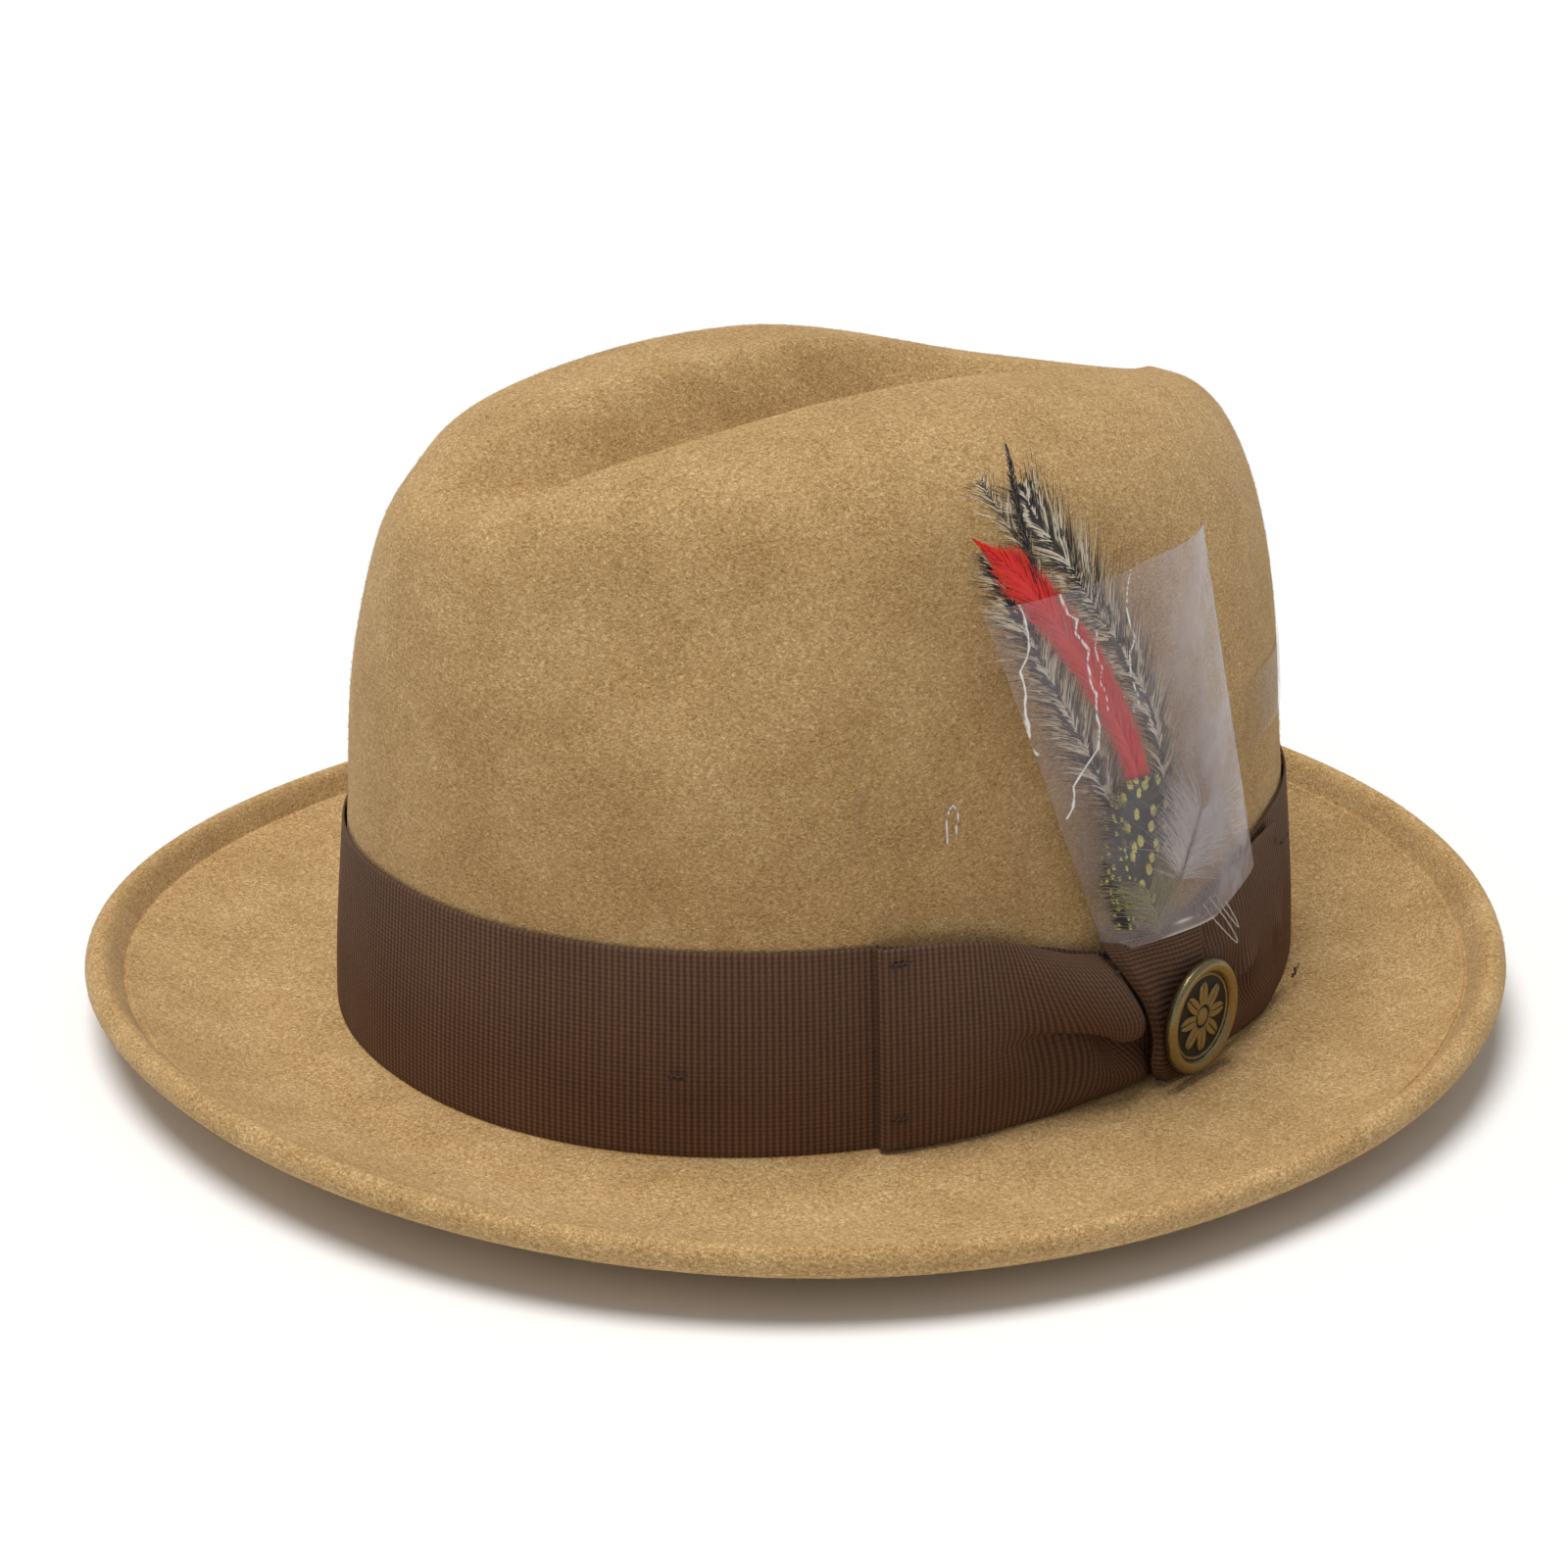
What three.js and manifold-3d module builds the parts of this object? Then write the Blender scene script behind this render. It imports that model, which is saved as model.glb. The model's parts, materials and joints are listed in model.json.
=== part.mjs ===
// A teardrop-crown wool-felt fedora with a grosgrain band and bow, a brass badge,
// and a feather spray in a clear sleeve.
// Millimetres, +Z up, the front of the hat towards -Y and the bow on the wearer's left, +X.
// The origin is the middle of the brim on the plane that the brim's underside rests on.
import * as THREE from "three";
import { mergeVertices } from "three/addons/utils/BufferGeometryUtils.js";
import Module from "manifold-3d";

const wasm = await Module();
wasm.setup();

// ---- Driving dimensions ----

const AROUND = 52; // facets round every piece that goes round the head
const CROWN = {
  centreY: 8, // the crown sits this far behind the middle of the brim
  halfLength: 100.5,
  halfWidth: 84.6,
  roundness: 2.15, // exponent of the head oval
  baseZ: 2.5, // top of the brim at the crown's foot
  rake: 3.1, // how far the wall leans in over rakeHeight
  rakeHeight: 55,
  crestHalfLength: 85, // oval of the ridge round the centre dent
  crestHalfWidth: 23.5,
  crestZ: 125.5,
  crestDroop: 0.0018, // the ridge falls by this times y squared
  frontNotch: 2.5, // the dent runs out lower at the front
  notchWidth: 10,
  rightSink: 6, // the ridge is lower at the rear of the wearer's right side
  shoulder: 3.1, // exponent of the wall's profile up to the ridge
  dentDepth: 22,
  dentCentreY: -4,
};
const PINCH = {
  depth: 4,
  angle: 52,
  z: 98,
  length: 26,
  height: 20,
  leftDepth: 2.4, // the pinch on the wearer's left is this much deeper and longer
  leftLength: 8,
};
const FELT = 2.2; // thickness of the crown's felt
const FELT_DOWN = 2.9; // the same felt measured straight down, on the ridge and in the dent
const BRIM = {
  halfWidth: 141.3,
  halfLength: 139.8,
  roundness: 2.1,
  thickness: 2.5,
  lip: 7.6, // width of the turned-up edge
  creaseZ: 9.7, // mean height of the crease, with how it varies round the brim
  creaseFrontBack: 2.7,
  creaseRear: 1.7,
  creaseLeft: 1.2,
  flat: 0.35, // share of the brim that lies flat, less at the rear
  flatRearLoss: 0.2,
  curl: 1.6, // exponent of the rise from the flat to the crease
};
const GAP = 0.3;
const RIBBON = { bottom: 3, height: 38.1, thickness: 0.8 };
const BOW = { front: -47.5, rearTop: 60.3, rearBottom: 67.7, layer: 0.7, waistFront: 9, waistRear: 22 };
const BADGE = { arc: 17.8, z: 15.2, out: 7.1, yaw: 12, radius: 11.3, postRadius: 0.6, postHole: 1 };
const SPRAY = { foot: [84, 17, 32], tilt: 12.4, lean: -2.1, yaw: 7, bendRadius: 130, bendCentre: 10 };
const SLEEVE = { film: 0.3, bottom: 4.7, top: 75.7, slant: -0.12, left: -8.3, right: 36.5 };
const TAPE = { from: -25, to: 60, bottom: 56, width: 14, thickness: 0.3 };
const SWEATBAND = { out: -4.1, thickness: 1, bottom: 1, top: 40 };
const LINING = { out: -2.9, thickness: 0.6, bottom: 14, top: 84, crownZ: 95 };

const degrees = THREE.MathUtils.degToRad;
const vector = (x, y, z) => new THREE.Vector3(x, y, z);
const mix = THREE.MathUtils.lerp;
const smooth = (x) => THREE.MathUtils.smoothstep(x, 0, 1);
const steps = (count) => Array.from({ length: count + 1 }, (_, i) => i / count);
const anglesAround = Array.from({ length: AROUND }, (_, i) => (2 * Math.PI * i) / AROUND);

// ---- Colours ----

const finish = (color, roughness, metalness = 0, opacity = 1) =>
  new THREE.MeshStandardMaterial({ color, roughness, metalness, opacity, transparent: opacity < 1 });
const LOOKS = {
  felt: finish(0xb08a58, 0.95),
  ribbon: finish(0x5c4436, 0.8),
  thread: finish(0x3a2a22, 0.8),
  brass: finish(0x8a7440, 0.35, 0.9),
  red: finish(0xc8202a, 0.7),
  barred: finish(0x8c7a62, 0.8),
  spotted: finish(0x23261f, 0.8),
  olive: finish(0x6b6a48, 0.8),
  fluff: finish(0xb8a48c, 0.9),
  card: finish(0x2b2724, 0.9),
  film: finish(0xdedee2, 0.1, 0, 0.35),
  leather: finish(0x6e4a30, 0.5),
  satin: finish(0x7a5a3c, 0.35),
  reed: finish(0xe8e4da, 0.4),
  label: finish(0xefe9dc, 0.7),
};

// ---- Solids from points ----

// Turns points and triangles into a geometry whose faces point out.
function closedGeometry(points, triangles) {
  let volume = 0;
  for (const [a, b, c] of triangles) {
    volume += points[a].dot(points[b].clone().cross(points[c]));
  }
  const index = triangles.flatMap(([a, b, c]) => (volume < 0 ? [a, c, b] : [a, b, c]));
  const geometry = new THREE.BufferGeometry();
  geometry.setAttribute("position", new THREE.Float32BufferAttribute(points.flatMap((p) => p.toArray()), 3));
  geometry.setIndex(index);
  return geometry;
}

// Joins closed rings of points, each with the same count.
// The ends are closed by fans, or the last ring meets the first.
function skin(rings, endless = false) {
  const count = rings[0].length;
  const points = rings.flat();
  const triangles = [];
  const last = endless ? rings.length : rings.length - 1;
  for (let i = 0; i < last; i++) {
    const here = i * count;
    const next = ((i + 1) % rings.length) * count;
    for (let j = 0; j < count; j++) {
      const k = (j + 1) % count;
      triangles.push([here + j, here + k, next + k], [here + j, next + k, next + j]);
    }
  }
  if (!endless) {
    const ends = [[0, true], [(rings.length - 1) * count, false]];
    ends.forEach(([start, first]) => {
      const middle = vector(0, 0, 0);
      for (let j = 0; j < count; j++) middle.addScaledVector(points[start + j], 1 / count);
      const hub = points.push(middle) - 1;
      for (let j = 0; j < count; j++) {
        const k = (j + 1) % count;
        triangles.push(first ? [hub, start + k, start + j] : [hub, start + j, start + k]);
      }
    });
  }
  return closedGeometry(points, triangles);
}

// A thin piece between two surfaces, each a function of u and v from 0 to 1.
function slab(front, back, across, along) {
  const us = steps(across);
  const vs = steps(along);
  const sheet = (surface) => us.flatMap((u) => vs.map((v) => surface(u, v)));
  const points = [...sheet(front), ...sheet(back)];
  const at = (i, j, side) => side * us.length * vs.length + i * vs.length + j;
  const triangles = [];
  const quad = (a, b, c, d) => triangles.push([a, b, c], [a, c, d]);
  for (let i = 0; i < across; i++) {
    for (let j = 0; j < along; j++) {
      quad(at(i, j, 0), at(i + 1, j, 0), at(i + 1, j + 1, 0), at(i, j + 1, 0));
      quad(at(i, j, 1), at(i, j + 1, 1), at(i + 1, j + 1, 1), at(i + 1, j, 1));
    }
    quad(at(i, 0, 0), at(i, 0, 1), at(i + 1, 0, 1), at(i + 1, 0, 0));
    quad(at(i, along, 0), at(i + 1, along, 0), at(i + 1, along, 1), at(i, along, 1));
  }
  for (let j = 0; j < along; j++) {
    quad(at(0, j, 0), at(0, j + 1, 0), at(0, j + 1, 1), at(0, j, 1));
    quad(at(across, j, 0), at(across, j, 1), at(across, j + 1, 1), at(across, j + 1, 0));
  }
  return closedGeometry(points, triangles);
}

function solidOf(geometry) {
  const plain = new THREE.BufferGeometry();
  plain.setAttribute("position", geometry.getAttribute("position"));
  if (geometry.index) plain.setIndex(geometry.index);
  const merged = mergeVertices(plain, 1e-4);
  const mesh = new wasm.Mesh({
    numProp: 3,
    vertProperties: merged.attributes.position.array,
    triVerts: new Uint32Array(merged.index.array),
  });
  return new wasm.Manifold(mesh);
}

// Cuts one geometry out of another.
function cut(geometry, tool) {
  const mesh = solidOf(geometry).subtract(solidOf(tool)).getMesh();
  const result = new THREE.BufferGeometry();
  result.setAttribute("position", new THREE.BufferAttribute(mesh.vertProperties, 3));
  result.setIndex(new THREE.BufferAttribute(mesh.triVerts, 1));
  return result;
}

const hat = new THREE.Group();
function add(name, geometry, look, parent = hat) {
  const mesh = new THREE.Mesh(geometry, LOOKS[look]);
  mesh.name = name;
  parent.add(mesh);
  return mesh;
}

// ---- The crown's surface ----

function oval(angle, exponent) {
  const c = Math.cos(angle);
  const s = Math.sin(angle);
  return [Math.sign(c) * Math.abs(c) ** (2 / exponent), Math.sign(s) * Math.abs(s) ** (2 / exponent)];
}

// The ridge round the dent, as a point with y measured from the crown's own middle.
function crest(angle) {
  const x = CROWN.crestHalfWidth * Math.cos(angle);
  const y = CROWN.crestHalfLength * Math.sin(angle);
  const notch = y < 0 ? CROWN.frontNotch * Math.exp(-((x / CROWN.notchWidth) ** 2)) : 0;
  const right = Math.max(-Math.cos(angle), 0) ** 0.7;
  const sink = CROWN.rightSink * right * smooth((Math.sin(angle) - 0.1) / 0.65);
  return vector(x, y, CROWN.crestZ - CROWN.crestDroop * y * y - notch - sink);
}

// How far the side pinches push the wall in.
function pinch(angle, z) {
  const side = Math.abs(Math.atan2(Math.sin(angle), Math.abs(Math.cos(angle))) + degrees(PINCH.angle));
  const left = Math.sqrt(Math.max(Math.cos(angle), 0));
  const along = (side * CROWN.halfLength) / (PINCH.length + PINCH.leftLength * left);
  const depth = PINCH.depth + PINCH.leftDepth * left;
  return depth * Math.exp(-along * along - ((z - PINCH.z) / PINCH.height) ** 2);
}

// The crown's outside: share 0 is the foot of the wall, 1 the ridge and 2 the middle of the dent.
function crownPoint(angle, share) {
  const ridge = crest(angle);
  if (share > 1) {
    const out = 2 - share;
    const floor = CROWN.crestZ - CROWN.dentDepth;
    return vector(
      ridge.x * out,
      CROWN.centreY + mix(CROWN.dentCentreY, ridge.y, out),
      mix(floor, ridge.z, Math.sin((Math.PI * out) / 2) ** 2),
    );
  }
  const turn = (share * Math.PI) / 2;
  const outward = Math.cos(turn) ** (2 / CROWN.shoulder);
  const z = mix(CROWN.baseZ, ridge.z, Math.sin(turn) ** (2 / CROWN.shoulder));
  const [ox, oy] = oval(angle, CROWN.roundness);
  const inward = CROWN.rake * smooth(z / CROWN.rakeHeight) * outward + pinch(angle, z);
  return vector(
    mix(ridge.x, CROWN.halfWidth * ox, outward) - inward * Math.cos(angle),
    CROWN.centreY + mix(ridge.y, CROWN.halfLength * oy, outward) - inward * Math.sin(angle),
    z,
  );
}

// A point this far outside the crown's surface, or inside it where out is negative.
function crownOffset(angle, share, out) {
  const step = 1e-4;
  const low = Math.max(share, 2 * step);
  const alongAngle = crownPoint(angle + step, low).sub(crownPoint(angle - step, low));
  const alongShare = crownPoint(angle, low + step).sub(crownPoint(angle, low - step));
  return crownPoint(angle, share).addScaledVector(alongAngle.cross(alongShare).normalize(), out);
}

function shareAt(angle, z) {
  const rise = (z - CROWN.baseZ) / (crest(angle).z - CROWN.baseZ);
  return Math.asin(Math.max(rise, 0) ** (CROWN.shoulder / 2)) / (Math.PI / 2);
}

// A point on the wall at a height, offset level so that its height stays exact.
function onWall(angle, z, out) {
  const step = 1e-4;
  const point = crownPoint(angle, shareAt(angle, z));
  const ahead = crownPoint(angle + step, shareAt(angle + step, z));
  const behind = crownPoint(angle - step, shareAt(angle - step, z));
  const along = ahead.sub(behind).normalize();
  return point.add(vector(along.y * out, -along.x * out, 0)).setZ(z);
}

// Distance along the band from the middle of the wearer's left side, turned into an angle.
const BAND_LEVEL = 20;
function angleAtArc(arc) {
  const stepAngle = degrees(Math.sign(arc) * 0.25);
  let angle = 0;
  let gone = 0;
  while (gone < Math.abs(arc)) {
    gone += onWall(angle, BAND_LEVEL, 0).distanceTo(onWall(angle + stepAngle, BAND_LEVEL, 0));
    angle += stepAngle;
  }
  return angle;
}
const onBand = (arc, z, out) => onWall(angleAtArc(arc), z, out);

// ---- The brim's surface ----

function brimEdge(angle, inward) {
  const [ox, oy] = oval(angle, BRIM.roundness);
  return vector(
    BRIM.halfWidth * ox - inward * Math.cos(angle),
    BRIM.halfLength * oy - inward * Math.sin(angle),
    0,
  );
}

function creaseZ(angle) {
  const tilt = BRIM.creaseRear * Math.sin(angle) + BRIM.creaseLeft * Math.cos(angle);
  return BRIM.creaseZ - BRIM.creaseFrontBack * Math.cos(2 * angle) + tilt;
}

// The brim's upper surface: out is 0 at the crown's foot and 1 at the crease.
function brimTop(angle, out) {
  const foot = crownPoint(angle, 0);
  const crease = brimEdge(angle, BRIM.lip);
  const flat = BRIM.flat - BRIM.flatRearLoss * Math.max(Math.sin(angle), 0) ** 3;
  const rise = (creaseZ(angle) - BRIM.thickness) * Math.max((out - flat) / (1 - flat), 0) ** BRIM.curl;
  return foot.lerp(crease, out).setZ(BRIM.thickness + rise);
}

// ---- Felt ----

function feltBody() {
  const ring = (point) => anglesAround.map(point);
  const dentShares = [1.94, 1.8, 1.62, 1.44, 1.26, 1.1, 1];
  const shoulderShares = [0.88, 0.74, 0.6, 0.47];
  const wallHeights = [84, 68, 50, 30, 12];
  const outside = [
    ...dentShares.map((share) => ring((a) => crownPoint(a, share))),
    ...shoulderShares.map((share) => ring((a) => crownPoint(a, share))),
    ...wallHeights.map((z) => ring((a) => onWall(a, z, 0))),
  ];
  const brimShares = [0, 0.15, 0.35, 0.6, 0.8, 1];
  const top = brimShares.map((out) => ring((a) => brimTop(a, out)));
  const lipSection = [
    [4.6, 3.5],
    [3.6, 4.6],
    [1.8, 4.6],
    [0.5, 3.5],
    [0, 1.9],
    [1, -0.2],
    [3.6, -1.4],
  ];
  const lip = lipSection.map(([inward, up]) =>
    ring((a) => brimEdge(a, inward).setZ(creaseZ(a) + up)));
  const under = [...brimShares].reverse().slice(0, -1).map((out) =>
    ring((a) => brimTop(a, out).sub(vector(0, 0, BRIM.thickness))));
  const mouth = ring((a) => onWall(a, CROWN.baseZ, -FELT).setZ(0));
  const inside = [
    mouth,
    ...[...wallHeights].reverse().map((z) => ring((a) => onWall(a, z, -FELT))),
    ...[...shoulderShares].reverse().map((share) => ring((a) => crownOffset(a, share, -FELT))),
    ...[...dentShares].reverse().map((share) =>
      ring((a) => crownPoint(a, share).sub(vector(0, 0, FELT_DOWN)))),
  ];
  return skin([...outside, ...top, ...lip, ...under, ...inside]);
}
add("felt_body", feltBody(), "felt");

// A strip that goes all the way round the head, between two heights.
function headStrip(bottom, top, out, thickness, levels) {
  const rings = anglesAround.map((angle) => {
    const at = (level, offset) => onWall(angle, mix(bottom, top, level), offset);
    const outer = levels.map((level) => at(level, out));
    const inner = [...levels].reverse().map((level) => at(level, out - thickness));
    return [...outer, ...inner];
  });
  return skin(rings, true);
}
const RIBBON_TOP = RIBBON.bottom + RIBBON.height;
const RIBBON_OUT = GAP + RIBBON.thickness;
add(
  "band_ribbon",
  headStrip(RIBBON.bottom, RIBBON_TOP, RIBBON_OUT, RIBBON.thickness, [0, 0.33, 0.67, 1]),
  "ribbon",
);

// ---- Bow ----

// A ribbon layer along the band. Each function of u gives an edge,
// and out(u, v) how far its outer face stands out.
function bowLayer({ arc, bottom, top, out, thickness = BOW.layer, across = 12, along = 6 }) {
  const face = (inset) => (u, v) => onBand(arc(u, v), mix(bottom(u), top(u), v), out(u, v) - inset);
  return slab(face(0), face(thickness), across, along);
}

const waistDip = (arc) => Math.exp(-(((arc - 14) / 12) ** 2));
add(
  "bow_under_layer",
  bowLayer({
    arc: (u) => mix(BOW.front + 0.6, BOW.rearTop - 1, u),
    bottom: () => 3.8,
    top: (u) => 40 - 1.5 * u - 7 * waistDip(mix(BOW.front, BOW.rearTop, u)),
    out: () => 2,
    thickness: 0.6,
    across: 18,
    along: 3,
  }),
  "ribbon",
);
add(
  "bow_front_loop",
  bowLayer({
    arc: (u) => mix(BOW.front, BOW.waistFront, u),
    bottom: (u) => mix(3.4, 3, u),
    top: (u) => mix(41.3, 31, smooth((u - 0.35) / 0.65)),
    out: (u, v) => mix(3, 4.6, smooth(u)) + 1.6 * Math.sin(Math.PI * u) * Math.sin(Math.PI * v),
  }),
  "ribbon",
);
add(
  "bow_rear_tail",
  bowLayer({
    arc: (u, v) => mix(BOW.waistRear, mix(BOW.rearBottom, BOW.rearTop, v), u),
    bottom: (u) => mix(4.4, 3, u),
    top: (u) => mix(32.5, 37.4, smooth(u / 0.6)),
    out: (u, v) => mix(4.6, 3, smooth(u)) + Math.sin(Math.PI * u) * Math.sin(Math.PI * v),
  }),
  "ribbon",
);

function badgeFrame() {
  const frame = new THREE.Group();
  frame.position.copy(onBand(BADGE.arc, BADGE.z, BADGE.out));
  frame.rotation.set(0, 0, degrees(BADGE.yaw));
  hat.add(frame);
  frame.updateMatrixWorld(true);
  return frame;
}
const badge = badgeFrame();

function knotWrap() {
  const wrap = bowLayer({
    arc: (u, v) => mix(mix(11.5, 1.4, v), mix(21.5, 24, v), u),
    bottom: () => 2.9,
    top: (u) => mix(32.2, 34, u),
    out: (u) => 5.8 + 0.8 * Math.sin(Math.PI * u),
    across: 8,
    along: 6,
  });
  const drill = new THREE.CylinderGeometry(BADGE.postHole, BADGE.postHole, 12, 16);
  drill.rotateZ(Math.PI / 2).applyMatrix4(badge.matrixWorld);
  return cut(wrap, drill);
}
add("bow_knot_wrap", knotWrap(), "ribbon");

// ---- Badge: a turned disc on a post that a clutch holds behind the knot ----

function turned(profile, sides = 40) {
  const geometry = new THREE.LatheGeometry(profile.map(([r, h]) => new THREE.Vector2(r, h)), sides);
  return geometry.rotateZ(-Math.PI / 2);
}
add(
  "badge_face",
  turned([
    [0, 0],
    [BADGE.radius - 0.7, 0],
    [BADGE.radius, 0.6],
    [BADGE.radius, 1.6],
    [BADGE.radius - 0.5, 2.3],
    [BADGE.radius - 1.2, 2.5],
    [BADGE.radius - 1.9, 2],
    [BADGE.radius - 2.2, 1.3],
    [0, 1.5],
  ]),
  "brass",
  badge,
);
const POST_LENGTH = 3.4;
add(
  "badge_post",
  turned(
    [
      [0, -GAP - POST_LENGTH],
      [BADGE.postRadius, -GAP - POST_LENGTH],
      [BADGE.postRadius, -GAP],
      [0, -GAP],
    ],
    12,
  ),
  "brass",
  badge,
);
const CLUTCH = { radius: 3, bottom: -3.2, top: -2 };
add(
  "badge_clutch",
  turned(
    [
      [BADGE.postRadius + GAP, CLUTCH.bottom],
      [CLUTCH.radius, CLUTCH.bottom],
      [CLUTCH.radius, CLUTCH.top],
      [BADGE.postRadius + GAP, CLUTCH.top],
      [BADGE.postRadius + GAP, CLUTCH.bottom],
    ],
    16,
  ),
  "brass",
  badge,
);

// ---- Feather spray: local x points out of the hat, y to the rear and z up the quills ----

const spray = new THREE.Group();
spray.position.set(...SPRAY.foot);
spray.rotation.set(degrees(SPRAY.tilt), degrees(SPRAY.lean), degrees(SPRAY.yaw), "ZYX");
hat.add(spray);
spray.updateMatrixWorld(true);

// The spray follows the head's curve: a point at a side and a height, this far out.
function sprayPoint(side, height, out) {
  const bend = (side - SPRAY.bendCentre) ** 2 / (2 * SPRAY.bendRadius);
  return vector(out - bend, side, height);
}

add("feather_tab", new THREE.BoxGeometry(0.5, 8, 11).translate(1.35, 0, -4.5), "card", spray);
add(
  "feather_binding",
  new THREE.CylinderGeometry(1.2, 1.2, 11, 10).rotateX(Math.PI / 2).translate(2.5, 0, 7.8),
  "thread",
  spray,
);

// A feather lies flat along its shaft, from its base to its tip, and may curl towards the crown.
function feather(form) {
  const { base, tip, width, out } = form;
  const { widest = 0.4, sweep = 0, curl = 0, thickness = 0.5, blunt = 0.25 } = form;
  const curlFrom = 76;
  const taper = (share) => Math.cos((Math.PI / 2) * share * 0.9);
  const face = (inset) => (u, v) => {
    const height = mix(base[1], tip[1], v);
    const shape = v < widest ? smooth(v / widest) : taper((v - widest) / (1 - widest));
    const half = (width / 2) * mix(blunt, 1, shape);
    const side = mix(base[0], tip[0], v) + sweep * Math.sin(Math.PI * v) + mix(-half, half, u);
    const fold = curl * Math.max((height - curlFrom) / 25, 0) ** 2;
    return sprayPoint(side, height, out - inset - fold);
  };
  return slab(face(0), face(thickness), 3, 10);
}
const FEATHERS = {
  fluff: { base: [10, 14], tip: [19, 34], width: 9, out: 1.9, widest: 0.6, thickness: 0.4 },
  barred_side: { base: [0, 15], tip: [-16, 90], width: 13, out: 2.2, curl: 5, widest: 0.7 },
  barred_long: { base: [4, 15], tip: [-3, 96], width: 15, out: 3, curl: 10, widest: 0.6 },
  red: { base: [6, 22], tip: [-22, 92], width: 8, out: 3.8, curl: 6, sweep: 3 },
  spotted: { base: [4, 9], tip: [4, 32], width: 14, out: 4.7, widest: 0.5, blunt: 0.6 },
  olive: { base: [5, 4], tip: [5, 8.6], width: 11, out: 4.7, widest: 0.9, blunt: 0.7 },
};
for (const [name, form] of Object.entries(FEATHERS)) {
  add(`feather_${name}`, feather(form), name.split("_")[0], spray);
}

// ---- Clear sleeve: a flat tube open at both ends, pressed to a seam down each side ----

const sleeveLeft = (height) => SLEEVE.left - 0.17 * (height - 1);
const sleeveRight = (height) => SLEEVE.right - 0.045 * height;
const SLEEVE_SEAM = 1.8;
const SLEEVE_BULGE = 4.6;
const SLEEVE_BACK = 1.3;

// Out of the sleeve's front or back film, at a share of its width.
function sleeveOut(share, bulge, inset) {
  return SLEEVE_SEAM + (bulge - Math.sign(bulge) * inset) * Math.sin(Math.PI * share) ** 0.45;
}

function sleeveTube() {
  const shares = steps(10);
  const section = (level, inset) => {
    const bottom = SLEEVE.bottom;
    const heightAt = (share) => {
      const rise = mix(bottom, SLEEVE.top, level);
      return rise + SLEEVE.slant * share * (sleeveRight(rise) - sleeveLeft(rise));
    };
    const at = (share, bulge) => {
      const height = heightAt(share);
      const side = mix(sleeveLeft(height) + inset * 2, sleeveRight(height) - inset * 2, share);
      return sprayPoint(side, height, sleeveOut(share, bulge, inset));
    };
    const front = shares.map((share) => at(share, SLEEVE_BULGE));
    const back = [...shares].reverse().slice(1, -1).map((share) => at(share, -SLEEVE_BACK));
    return [...front, ...back];
  };
  const levels = steps(5);
  const outer = levels.map((level) => section(level, 0));
  const inner = [...levels].reverse().map((level) => section(level, SLEEVE.film));
  return skin([...outer, ...inner], true);
}
add("feather_sleeve", sleeveTube(), "film", spray);

// ---- Tape: a strip that holds the sleeve, flat on the felt at both ends ----

function tapeStrip() {
  const toHat = (side, z, out) => {
    const height = z - SPRAY.foot[2] - 0.215 * side;
    return sprayPoint(side, height, out).applyMatrix4(spray.matrixWorld);
  };
  const columns = [];
  const wallAngles = [TAPE.from, -20, -16];
  wallAngles.forEach((a) => columns.push((z, lift) => onWall(degrees(a), z, 0.7 + lift)));
  const sides = steps(8).map((share) => mix(-19.5, 37, share));
  sides.forEach((side) =>
    columns.push((z, lift) => {
      const share = THREE.MathUtils.clamp((side + 15) / 51, 0, 1);
      return toHat(side, z, sleeveOut(share, SLEEVE_BULGE, 0) + 0.9 + lift);
    }),
  );
  [33, 40, 47, 54, TAPE.to].forEach((a) => columns.push((z, lift) => onWall(degrees(a), z, 0.7 + lift)));
  const column = (u) => columns[Math.round(u * (columns.length - 1))];
  const face = (lift) => (u, v) => column(u)(TAPE.bottom + TAPE.width * v, lift);
  return slab(face(0), face(-TAPE.thickness), columns.length - 1, 2);
}
add("sleeve_tape", tapeStrip(), "film");

// A loop of nylon thread that hangs below the sleeve.
function nylonLoop() {
  const points = [
    [17.6, 1.4, 6.6],
    [19, -2, 7],
    [21.4, -6, 7.2],
    [22.6, -8.6, 7.3],
    [21.2, -8.8, 7.3],
    [19.2, -5.8, 7.2],
    [17.4, -2, 7],
  ].map(([side, height, out]) => sprayPoint(side, height, out + 0.2));
  const path = new THREE.CatmullRomCurve3(points);
  const shape = new THREE.Shape().absellipse(0, 0, 0.3, 0.3, 0, 2 * Math.PI);
  return new THREE.ExtrudeGeometry(shape, { extrudePath: path, steps: 18, curveSegments: 3 });
}
add("nylon_loop", nylonLoop(), "film", spray);

// ---- Inside: sweatband with its reed and bow, lining and label ----

const SWEATBAND_LEVELS = [0, 0.4, 0.75, 1];
add(
  "sweatband",
  headStrip(SWEATBAND.bottom, SWEATBAND.top, SWEATBAND.out, SWEATBAND.thickness, SWEATBAND_LEVELS),
  "leather",
);

function reedRing() {
  const radius = 0.6;
  const middle = -3.1;
  const corners = steps(6).slice(0, -1).map((share) => 2 * Math.PI * share);
  const rings = anglesAround.map((angle) =>
    corners.map((turn) => {
      const foot = onWall(angle, BAND_LEVEL / 10 + 1, middle + radius * Math.cos(turn));
      return foot.setZ(BAND_LEVEL / 10 + radius * Math.sin(turn));
    }),
  );
  return skin(rings, true);
}
add("sweatband_reed", reedRing(), "reed");

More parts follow.
